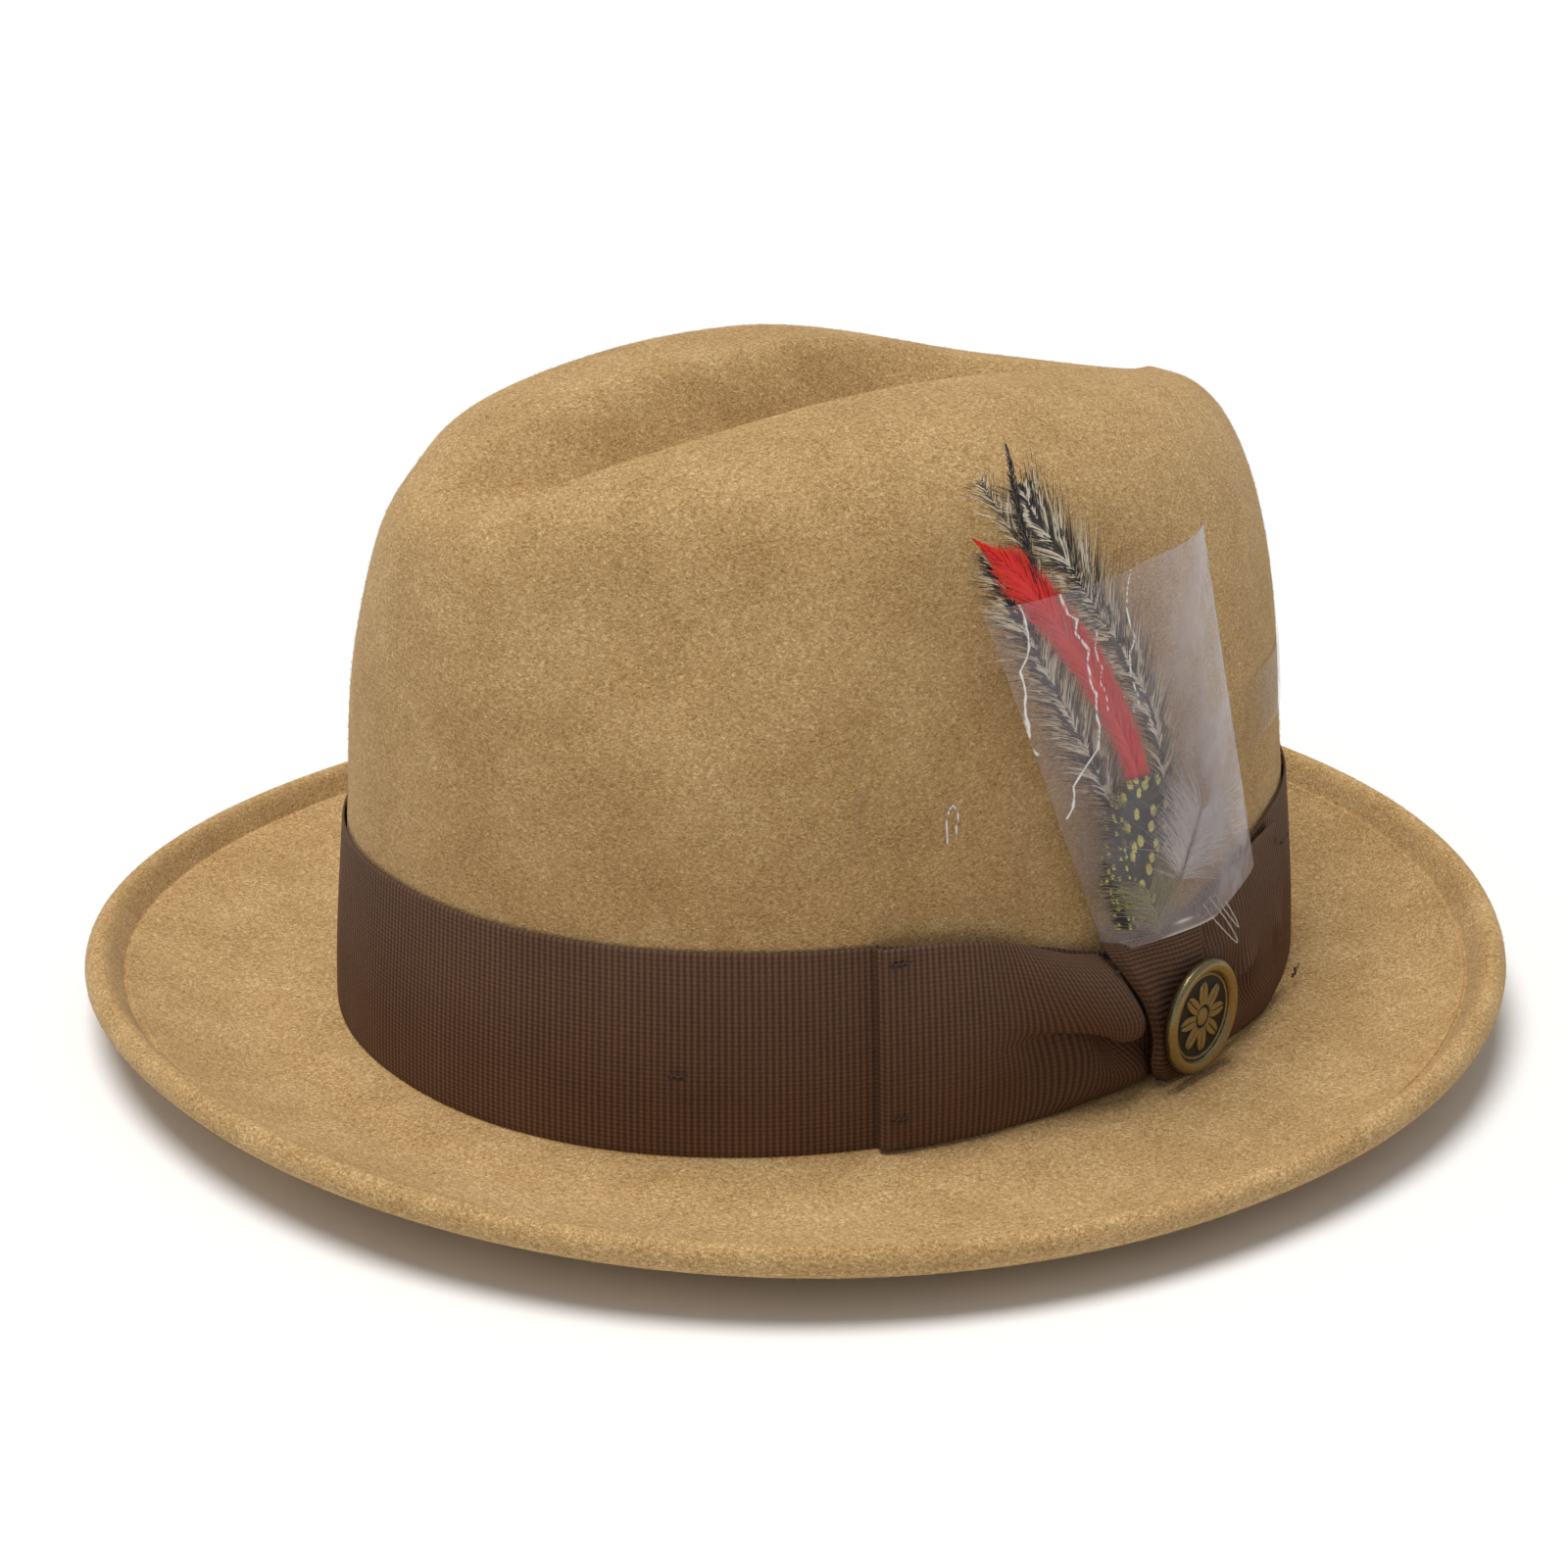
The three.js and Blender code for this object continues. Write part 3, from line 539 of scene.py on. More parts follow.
def film_look(name, haze, tint):
    """Clear film. crease marks painted highlights, white glints where the lamps catch its folds and edges,
    painted into its colour and opacity, and cloud marks where it is dull.
    """
    look = Look(name, IOR=1.5, Specular_IOR_Level=0.5)
    crease, cloud = look.mark("crease"), look.mark("cloud")
    patches = look.noise(look.place(), 110, 3, 0.6)
    dull = look.times(cloud, look.steps(patches, 0.3, 0.75, haze[0], haze[1]))
    # Where crease is high the film turns opaque white: a painted highlight for the lamps' glint on its folds
    # and edges.
    alpha = look.math("MAXIMUM", dull, look.times(crease, 0.96))
    colour = look.blend(look.steps(crease, 0.2, 0.8), tint, (0.97, 0.97, 0.95))
    waved = look.stretched(look.warped(look.place(), 90, 0.01), (1, 1, 0.5))
    wrinkles = look.noise(waved, 260, 2)
    return look.finish(colour, 0.18, wrinkles, 0.0008, 0.5, alpha)


def leather_look():
    look = Look("sweatband_leather", Specular_IOR_Level=0.45)
    place = look.place()
    cells = look.node("TexVoronoi", {"Vector": look.warped(place, 500, 0.0008), "Scale": 900.0})
    grain = look.steps(cells.outputs["Distance"], 0.1, 0.6)
    tone = look.noise(place, 70, 4, 0.6)
    dark, middle, pale = (0.085, 0.036, 0.016), (0.155, 0.072, 0.033), (0.24, 0.125, 0.062)
    colour = look.ramp(tone, (0.25, dark), (0.55, middle), (0.8, pale))
    return look.finish(colour, look.steps(tone, 0.3, 0.7, 0.38, 0.55), grain, 0.00018, 0.6)


def satin_look():
    look = Look("satin_lining", Sheen_Weight=0.3, Sheen_Roughness=0.25, Specular_IOR_Level=0.5)
    place = look.place()
    thread = look.noise(look.stretched(place, (1, 1, 0.08)), 3800, 2)
    tone = look.noise(place, 45, 3)
    colour = look.ramp(look.math("MULTIPLY_ADD", thread, 0.4, look.times(tone, 0.6)),
                       (0.3, (0.17, 0.092, 0.042)), (0.7, (0.37, 0.235, 0.125)))
    return look.finish(colour, 0.32, thread, 0.00008, 0.5)


def grained_look(name, dark, light, rough, scale, depth, strength=0.5, alpha=None, detail=2, sharp=0.5,
                 stretch=None, **fixed):
    """A plain material that one noise colours and roughens."""
    look = Look(name, **fixed)
    place = look.place()
    tone = look.noise(look.stretched(place, stretch) if stretch else place, scale, detail, sharp)
    return look.finish(look.ramp(tone, (0.3, dark), (0.7, light)), rough, tone, depth, strength, alpha)


def speckled_look(name, dark, light, rough, scale=1500.0):
    return grained_look(name, dark, light, rough, scale, 0.0001, detail=3, sharp=0.6, Specular_IOR_Level=0.35)


FELT_LOOK = felt_look()
RIBBON_LOOK = ribbon_look()

# ---- Camera, lights and floor ----


def camera():
    """The photograph's viewing angle: from the wearer's front left, a little above the brim."""
    azimuth, elevation, roll = math.radians(53), math.radians(20.96), math.radians(-0.15)
    target, distance = Vector((-4.71, 1.77, 38.6)) * MM, 634.4 * MM
    back = Vector((
        math.sin(azimuth) * math.cos(elevation),
        -math.cos(azimuth) * math.cos(elevation),
        math.sin(elevation),
    ))
    right = Vector((math.cos(azimuth), math.sin(azimuth), 0))
    up = back.cross(right)
    turned = Matrix((right, up, back)).transposed() @ Matrix.Rotation(roll, 3, "Z")
    data = bpy.data.cameras.new("camera")
    data.lens, data.sensor_width = 71.68, 36
    data.clip_start, data.clip_end = 0.01, 20
    made = bpy.data.objects.new("camera", data)
    made.matrix_world = Matrix.Translation(target + back * distance) @ turned.to_4x4()
    bpy.context.scene.collection.objects.link(made)
    bpy.context.scene.camera = made


def light(name, kind, at, aim, power):
    data = bpy.data.lights.new(name, kind)
    data.energy = power
    made = bpy.data.objects.new(name, data)
    made.location = at
    made.rotation_euler = (Vector(aim) - Vector(at)).to_track_quat("-Z", "Y").to_euler()
    bpy.context.scene.collection.objects.link(made)
    return data


def studio():
    bpy.context.scene.view_settings.view_transform = "Standard"
    world = bpy.data.worlds.new("studio")
    world.use_nodes = True
    background = world.node_tree.nodes["Background"].inputs
    background["Color"].default_value, background["Strength"].default_value = (1, 1, 1, 1), 0.33
    bpy.context.scene.world = world
    front = light("front", "AREA", (1.5, -3.0, 1.8), (0, 0, 0.05), 2)
    front.shape, front.size = "DISK", 1.6
    sky = light("sky", "SUN", (-0.45, -0.35, 3.3), (0, 0, 0), 2.6)
    sky.angle, sky.color = math.radians(34), (1, 0.99, 0.97)
    look = Look("floor", Specular_IOR_Level=0.1)
    tone = look.noise(look.place(), 3, 2)
    paint = look.finish(look.ramp(tone, (0.2, (0.9, 0.9, 0.9)), (0.8, (0.93, 0.93, 0.93))), 0.9)
    mesh = bpy.data.meshes.new("floor")
    reach = 30.0
    corners = [(-reach, -reach, 0), (reach, -reach, 0), (reach, reach, 0), (-reach, reach, 0)]
    mesh.from_pydata(corners, [], [(0, 1, 2, 3)])
    mesh.materials.append(paint)
    floor = bpy.data.objects.new("floor", mesh)
    bpy.context.scene.collection.objects.link(floor)


# ---- Felt ----

AROUND = 384
# How many rings of points the felt's stretches have, and how many more the loose fibres reach to.
SHOULDER_ROWS, WALL_ROWS, BRIM_ROWS, LIP_ROWS = 43, 31, 36, 44
BARE_WALL_ROWS, UNDER_EDGE_ROWS = 23, 10
FIBRE_WIDTH = 0.08


def felt_unevenness(points):
    """Slow swells of a hand-blocked felt, in millimetres."""
    rng = np.random.default_rng(11)
    total = np.zeros(len(points))
    for _ in range(7):
        wave = rng.normal(size=3)
        wave *= TAU / rng.uniform(38, 80) / np.linalg.norm(wave)
        total += np.sin(points @ wave + rng.uniform(0, TAU))
    return 0.06 * total


def felt_rings():
    """The felt's section from the dent over the crown, out along the brim, round its edge and back inside."""
    t = np.arange(AROUND) * TAU / AROUND
    dent = [dent_point(t, share) for share in 2 - np.linspace(0.012, 1, 40) ** 1.15]
    shoulder = [wall_point(t, share) for share in np.linspace(1, 0.5, SHOULDER_ROWS + 1)[1:]]
    top_z = wall_point(t, 0.5 + 0 * t)[:, 2]
    wall = [on_wall(t, mix(top_z, BASE_Z + 0.5, share)) for share in np.linspace(0, 1, WALL_ROWS + 1)[1:]]
    brim = [brim_top(t, out + 0 * t) for out in np.linspace(0, 1, BRIM_ROWS + 2)[1:-1]]
    section = spline(
        [[8.0, -0.05], [7.6, -0.5], [6.9, 0.5], [5.7, 2.3], [4.7, 3.6], [3.4, 4.55], [1.9, 4.55],
         [0.6, 3.6], [0, 1.95], [0.3, 0.7], [1.5, -0.5], [3.6, -1.45], [6, -2.2]], LIP_ROWS)
    lip = [brim_edge(t, inward, crease_z(t) + up) for inward, up in section]
    under = [brim_top(t, out + 0 * t) - [0, 0, BRIM_THICK] for out in np.linspace(1, 0, 26)]
    inside = [vec(*on_wall(t, max(z, BASE_Z), -FELT).T[:2], z) for z in np.linspace(0, LINING_TOP, 16)]
    low, outward = share_at(t, LINING_TOP), vec(np.cos(t), np.sin(t), 0)
    lowered = [wall_point(t, mix(low, 1, share)) - np.array([0, 0, FELT_DOWN]) - FELT * outward * (1 - share)
               for share in np.linspace(0.12, 1, 10)]
    dome = [dent_point(t, share) - [0, 0, FELT_DOWN] for share in np.linspace(1.1, 1.96, 12)]
    return dent, [*shoulder, *wall, *brim, *lip, *under], [*inside, *lowered, *dome]


def felt_body():
    """Returns the points, their grid, and the rings where the crown ends and the brim starts and ends."""
    dent, outside, inside = felt_rings()
    rings = np.array([*dent, *outside, *inside])
    count = rings.shape[0]
    points = rings.reshape(-1, 3)
    index = np.arange(len(points)).reshape(count, AROUND)
    faces = quads_of(index, close_columns=True)
    uneven = felt_unevenness(points)
    normals = vertex_normals(points, faces)
    keep = smooth(points[:, 2], 44, 60)[:, None]
    foot = len(dent) + SHOULDER_ROWS + WALL_ROWS
    outer = (np.arange(len(points)) < (foot + 1) * AROUND)[:, None]
    points = points + normals * uneven[:, None] * keep * outer
    faces = [list(f) for f in faces]
    faces += [list(index[0]), list(index[-1][::-1])]
    make_mesh("felt_hat_body", points, faces, FELT_LOOK, "hat", "felt", ["felt_body"])
    crown_end = len(dent) + SHOULDER_ROWS + BARE_WALL_ROWS
    return points, index, crown_end, foot, foot + BRIM_ROWS + LIP_ROWS + UNDER_EDGE_ROWS


def vertex_normals(points, faces):
    a, b, c, d = (points[faces[:, k]] for k in range(4))
    face = np.cross(c - a, d - b)
    total = np.zeros_like(points)
    for k in range(4):
        np.add.at(total, faces[:, k], face)
    return unit(total)


def felt_fibres(name, spots, normals, seed):
    """Short loose wool fibres that lie on the felt, each a narrow curved strip."""
    rng = np.random.default_rng(seed)
    count = len(spots)
    across = unit(np.cross(normals, rng.normal(size=(count, 3)) + [0, 0, 0.7]))
    curl = np.cross(normals, across)
    length = rng.uniform(0.7, 2.0, count)[:, None]
    bend = rng.normal(0, 0.28, count)[:, None]
    lift = rng.uniform(0.02, 0.3, count)[:, None]
    strips = []
    for share in np.linspace(0, 1, 4):
        along = (share - 0.5) * length
        arch = (1 - (2 * share - 1) ** 2) * lift + 0.03
        middle = spots + across * along + curl * bend * length * (2 * share - 1) ** 2 + normals * arch
        half = FIBRE_WIDTH / 2 * (1 - 0.6 * abs(2 * share - 1))
        strips.append(middle - curl * half)
        strips.append(middle + curl * half)
    points = np.stack(strips, axis=1).reshape(-1, 3)
    start = np.arange(count)[:, None] * 8
    faces = np.concatenate([start + np.array([[2 * k, 2 * k + 1, 2 * k + 3, 2 * k + 2]]) for k in range(3)])
    tone = np.repeat(rng.beta(2, 2, count), 8)
    make_mesh(name, points, faces, fibre_look(), "hat", "felt", tone=tone)


def spots_on(points, index, rows, count, seed):
    """Random places and their cells on a band of the felt's rings, evenly by area."""
    rng = np.random.default_rng(seed)
    grid = points.reshape(*index.shape, 3)[rows[0]:rows[1]]
    wrapped = np.concatenate([grid, grid[:, :1]], axis=1)
    a, b, c = wrapped[:-1, :-1], wrapped[1:, :-1], wrapped[:-1, 1:]
    area = np.linalg.norm(np.cross(b - a, c - a), axis=-1)
    pick = rng.choice(area.size, count, p=(area / area.sum()).ravel())
    i, j = np.unravel_index(pick, area.shape)
    u, v = rng.random((2, count, 1))
    a, b, c = wrapped[i, j], wrapped[i + 1, j], wrapped[i, j + 1]
    return a + (b - a) * u + (c - a) * v, unit(np.cross(b - a, c - a))


def felt():
    points, index, crown_end, brim_start, brim_end = felt_body()
    spots, out = spots_on(points, index, (0, crown_end), 52000, 5)
    out = turned_to(out, spots_in_dent(spots), spots - [0, CENTRE_Y, 40])
    clear = spots[:, 2] > RIBBON_BOTTOM + RIBBON_WIDTH + 1
    felt_fibres("felt_crown_fibres", spots[clear], out[clear], 6)
    spots, out = spots_on(points, index, (brim_start, brim_end), 40000, 7)
    angle = np.arctan2(spots[:, 1], spots[:, 0])
    edge = brim_edge(angle, 5.0, crease_z(angle) - 1)
    level = np.hypot(spots[:, 0], spots[:, 1]) < np.hypot(edge[:, 0], edge[:, 1])
    felt_fibres("felt_brim_fibres", spots, turned_to(out, level, spots - edge), 8)


def turned_to(normals, facing_up, outward):
    """The normals, turned to point up where facing_up is true and outward elsewhere."""
    toward = np.where(facing_up[:, None], np.array([0, 0, 1.0]), outward)
    return normals * np.where((normals * toward).sum(-1, keepdims=True) < 0, -1, 1)


def spots_in_dent(spots):
    """Which places lie inside the ridge."""
    angle = np.arctan2((spots[:, 1] - CENTRE_Y) / CREST_LENGTH, spots[:, 0] / CREST_WIDTH)
    ridge = crest(angle)
    return np.hypot(spots[:, 0], spots[:, 1] - CENTRE_Y) < np.hypot(ridge[:, 0], ridge[:, 1])


# ---- Grosgrain ----


def rib(along):
    """The height of a cord of the ribbon: rounded ribs with narrow valleys between them."""
    return RIB_DEPTH * (2 * np.sqrt(abs(np.cos(math.pi * along / RIB_PITCH))) - 1)


def weave(along, across, place, thick):
    """Front and back of a ribbon with ribs and a scalloped selvedge, from place(along, across, out)."""
    a, c = np.meshgrid(along, across, indexing="ij")
    width = across[-1]
    edge = np.minimum(c, width - c)
    selvedge = 1 - smooth(edge, 0.0, 0.8)
    scallop = 0.22 * selvedge * np.sin(math.pi * a / RIB_PITCH) ** 2 * np.sign(c - width / 2)
    height = rib(a) * (1 - 0.35 * selvedge) - 0.1 * selvedge
    front = place(a, c + scallop, height)
    back = place(a, c + scallop, -thick + 0 * a)
    cloth = np.stack([a, c, 0 * a], axis=-1)
    return front, back, cloth


# How far the ribbon's upper edge is drawn down, by arc: it sags behind the bow's knot.
SAG = [(-200, 0), (-60, 0), (-47, 0.3), (-35.5, 1.9), (-22, 4.3), (-13, 6.3), (-2, 9.8), (10, 12),
       (25, 8.5), (45, 3), (60, 0.6), (75, 0), (200, 0)]


def band_top(arc):
    return RIBBON_BOTTOM + RIBBON_WIDTH - through(arc, SAG)


def band_ribbon():
    total = BAND_ARCS[-1] - BAND_ARCS[0]
    count = round(total / RIB_PITCH)
    pitch = total / count
    along = np.arange(count * 7) * RIB_PITCH / 7
    edge = np.array([0, 0.3, 0.7, 1.2])
    across = np.concatenate([edge, np.linspace(2, RIBBON_WIDTH - 2, 15), RIBBON_WIDTH - edge[::-1]])

    def place(a, c, out):
        arc = BAND_ARCS[0] + a * pitch / RIB_PITCH
        z = mix(RIBBON_BOTTOM, band_top(arc), c / RIBBON_WIDTH)
        return on_band(arc, z, RIBBON_OUT - 0.15 + out)

    front, back, cloth = weave(along, across, place, 0.4)
    points, faces = thin_solid(front, back, endless=True)
    piece = make_mesh("grosgrain_band", points, faces, RIBBON_LOOK, "hat", "ribbon", ["band_ribbon"],
                      cloth=both_sides(cloth))


def bow_piece(name, node, place, length, width, columns=40, samples=7, thick=0.4):
    along = np.linspace(0, length, int(length / RIB_PITCH * samples) + 1)
    across = np.linspace(0, width, columns + 1)
    front, back, cloth = weave(along, across, place, thick)
    points, faces = thin_solid(front, back)
    piece = make_mesh(name, points, faces, RIBBON_LOOK, "hat", "ribbon", [node], cloth=both_sides(cloth))


def bow_under_layer():
    length, width = 105.0, 36.0

    def place(a, c, out):
        arc = mix(-46.4, 57.5, a / length)
        return on_band(arc, mix(3.8, band_top(arc) - 1.4, c / width), 1.75 + out)

    bow_piece("bow_base", "bow_under_layer", place, length, width, columns=14, samples=5,
              thick=0.3)


# The front loop's upper edge by arc, and where it ends under the knot, by the share of the ribbon's width
# from its lower edge: the lower lobe, the deep fold and the upper lobe.
LOOP_TOP = [(-50, 41.5), (-35.5, 40.9), (-22, 39.0), (-13, 37.1), (-2, 34.4), (12, 31)]
LOOP_END_ARC = [(0, 8.5), (0.1, 11.5), (0.3, 10.5), (0.40, 7.5), (0.44, 6.5), (0.5, 9.5), (0.62, 9.3),
                (0.78, 4.6), (0.92, 0.4), (1, -2.5)]
LOOP_END_Z = [(0, 2.9), (0.1, 4.5), (0.3, 11.2), (0.38, 15.0), (0.44, 18.4), (0.5, 16.4), (0.56, 15.4),
              (0.64, 18.3), (0.78, 25.5), (0.92, 31.5), (1, 33.9)]
LOOP_END_OUT = [(0, 2.4), (0.1, 3.7), (0.25, 3.9), (0.36, 2.4), (0.44, 1.3), (0.5, 3.8), (0.56, 6.8),
                (0.64, 8.4), (0.78, 8.2), (0.92, 5.8), (1, 3.4)]


def bow_front_loop():
    """The loop lies flat at its fold in front, and where the knot holds it, gathers into two lobes."""
    length, width = 60.0, 38.0
    fold_length, fold_radius = 3.7, 1.35

    def place(a, c, out):
        u, v = np.clip((a - fold_length) / (length - fold_length), 0, 1), c / width
        gather = smooth(u, 0.34, 0.84)
        turn_in = 1 - np.sqrt(np.maximum(1 - smooth(u, 0.86, 1.0) ** 2, 0))
        plain_arc = mix(-47.5 + fold_radius, 8.5, u)
        arc = plain_arc + (through(v, LOOP_END_ARC) - 8.5) * smooth(u, 0.25, 1.0)
        lean = bump_at(v, 0.42, 0.2) * (4.5 * bump_at(u, 0.68, 0.11) - 4.5 * bump_at(u, 0.9, 0.12))
        top = through(plain_arc, LOOP_TOP)
        z = mix(mix(3.6, 2.9, u), top, v) + gather * (through(v, LOOP_END_Z) - mix(2.9, 33.9, v))
        ending = through(v, LOOP_END_OUT)
        crown = 1.1 * np.sin(math.pi * smooth(u, 0.0, 0.6)) * np.sin(math.pi * v)
        hollow = 1.5 * bump_at(u, 0.48 + 0.35 * v, 0.13) * bump_at(v, 0.22, 0.22)
        body = mix(3.7 + crown - hollow, ending, gather)
        body = body - turn_in * (ending - mix(1.5, 3.2, smooth(v, 0.4, 0.5)))
        round_it = mix(-1.2, math.pi / 2, np.clip(a / fold_length, 0, 1))
        arc = arc - fold_radius * np.cos(round_it)
        return on_band(arc + lean, z, body - fold_radius * (1 - np.sin(round_it)) + out)

    bow_piece("bow_loop", "bow_front_loop", place, length, width, columns=90)


# Where the tail is cut, by the share of its width from the lower edge.
TAIL_END = [(0, 49), (0.06, 55.5), (0.13, 61.8), (0.17, 61.6), (0.22, 58.6), (0.4, 59.3), (0.7, 59.8),
            (1, 57.4)]


def bow_rear_tail():
    """The tail comes out from under the knot in two soft folds and lies smooth, its end cut on a slant."""
    length, width = 42.0, 36.0

    def place(a, c, out):
        u, v = a / length, c / width
        arc = mix(21.5, through(v, TAIL_END), u)
        bottom, top = mix(4.4, 3.0, smooth(u)), mix(31.5, 39.6, smooth(u / 0.75))
        near = 1 - smooth(u, 0.0, 0.6)
        upper, lower, between = bump_at(v, 0.7, 0.16), bump_at(v, 0.2, 0.14), bump_at(v, 0.45, 0.1)
        folds = near * (1.5 * upper + 1.1 * lower - 1.2 * between)
        crease = 2.0 * np.tanh((v - 0.30 - 0.25 * u) / 0.02) * bump_at(u, 0.42, 0.11) * bump_at(v, 0.38, 0.16)
        across = np.tanh((v - 0.42 + 0.5 * (u - 0.86)) / 0.03)
        dimple = 0.8 * bump_at(u, 0.86, 0.07) * across * bump_at(v, 0.42, 0.1)
        lift = mix(4.3, 2.9, smooth(u)) + 1.0 * np.sin(math.pi * u) * np.sin(math.pi * v)
        return on_band(arc, mix(bottom, top, v), lift + folds + crease + dimple + out)

    bow_piece("bow_tail", "bow_rear_tail", place, length, width, columns=60)


# The knot's edge towards the front, by height.
KNOT_LEFT = [(2, 12.0), (5.5, 9.3), (13, 8.6), (21, 6.0), (26, 2.8), (31.5, -0.9), (35, -2.5)]


def bow_knot():
    """A short ribbon wrapped over the bow's waist, so that its ribs lie along the band."""
    length, width = 40.0, 20.0

    def place(a, c, out):
        up, side = a / length, c / width
        z = 2.7 + 31.2 * (0.5 - 0.5 * np.cos(math.pi * np.clip(0.04 + 0.92 * up, 0, 1)))
        z = z - 1.6 * (side - 0.2) * smooth(up, 0.05, 0.3)
        right = mix(21.9, 24.2, up)
        arc = mix(through(z, KNOT_LEFT), right, side)
        tuck = 2.8 * (1 - np.sin(math.pi * np.clip(up * 0.96 + 0.02, 0, 1)) ** 0.35)
        rolled = 1.2 * (1 - smooth(side, 0.0, 0.1)) + 1.2 * smooth(side, 0.9, 1.0)
        soft = 0.35 * np.sin(side * 9 + up * 3) * np.sin(math.pi * up)
        return on_band(arc, z, 6.6 + soft - tuck - rolled + out)

    bow_piece("bow_knot", "bow_knot_wrap", place, length, width, columns=40, samples=8)


# ---- Badge ----


def badge():
    """A turned disc with a rolled rim and a rosette of eight petals in a dark recess."""
    joint = next(j for j in frame["joints"] if j["name"] == "badge_turn")
    origin, out, up = np.array(joint["pos_m"]) / MM, np.array(joint["axis"]), np.array([0, 0, 1])
    side = np.cross(up, out)
    radius, sides = 11.3, 240
    r = np.concatenate([np.linspace(0.02, 9.0, 60), np.linspace(9.1, radius, 26)])
    turn = np.arange(sides) * TAU / sides
    rr, tt = np.meshgrid(r, turn, indexing="ij")
    rim = np.sqrt(np.maximum(1 - ((rr - 10.0) / 1.32) ** 2, 0))
    inner_ring = bump_at(rr, 8.25, 0.26)
    petal = abs(np.cos(4 * tt)) ** 0.8
    reach = 2.8 + 4.7 * petal
    leaf = smooth((reach - rr) / 0.7) * smooth((rr - 2.1) / 0.5)
    vein = bump_at(np.sin(4 * tt), 0, 0.12) * leaf * (abs(np.cos(4 * tt)) > 0.5)
    boss = np.sqrt(np.maximum(1 - (rr / 2.0) ** 2, 0))
    beads = bump_at(rr, 2.55, 0.2) * (0.5 + 0.5 * np.cos(24 * tt))
    floor = 1.15
    height = floor + 1.3 * rim + 0.4 * inner_ring + 0.5 * leaf - 0.25 * vein + 0.75 * boss + 0.3 * beads
    relief = np.clip(rim * 1.4 + inner_ring + 0.75 * leaf - 0.6 * vein + boss + beads, 0, 1)

    def disc(far, around, lift):
        level = side * (far * np.cos(around))[..., None] + up * (far * np.sin(around))[..., None]
        return origin + out * lift[..., None] + level

    back_r, back_t = np.meshgrid([radius, radius - 0.25, radius - 0.7, 6, 0.02], turn, indexing="ij")
    back = disc(back_r, back_t, np.array([0.9, 0.3, 0.02, 0, 0])[:, None])
    rings = np.concatenate([disc(rr, tt, height), back])
    marks = np.concatenate([relief.ravel(), np.full(back.shape[0] * sides, 0.8)])
    index = np.arange(rings.shape[0] * sides).reshape(-1, sides)
    faces = [list(f) for f in quads_of(index, close_columns=True)[:, ::-1]]
    faces += [list(index[0][::-1]), list(index[-1])]
    make_mesh("badge_disc", rings.reshape(-1, 3), faces, brass_look(), "badge", "badge_brass",
              ["badge_face"], relief=marks)


# ---- Feather spray ----

SPRAY_FOOT = np.array([84.0, 17.0, 32.0])


def spray_axes():
    tilt, lean, yaw = (math.radians(a) for a in (12.4, -2.1, 7))
    turned = Matrix.Rotation(yaw, 3, "Z") @ Matrix.Rotation(lean, 3, "Y") @ Matrix.Rotation(tilt, 3, "X")
    return np.array(turned)


SPRAY_TURN = spray_axes()
SHAFT_RADIUS = 0.3


def spray_place(side, height, out):
    """A place in the spray: to the rear, up the quills and out of the hat, bent round the head."""
    bend = (side - SPRAY_MIDDLE) ** 2 / (2 * SPRAY_BEND)
    return vec(out - bend, side, height) @ SPRAY_TURN.T + SPRAY_FOOT


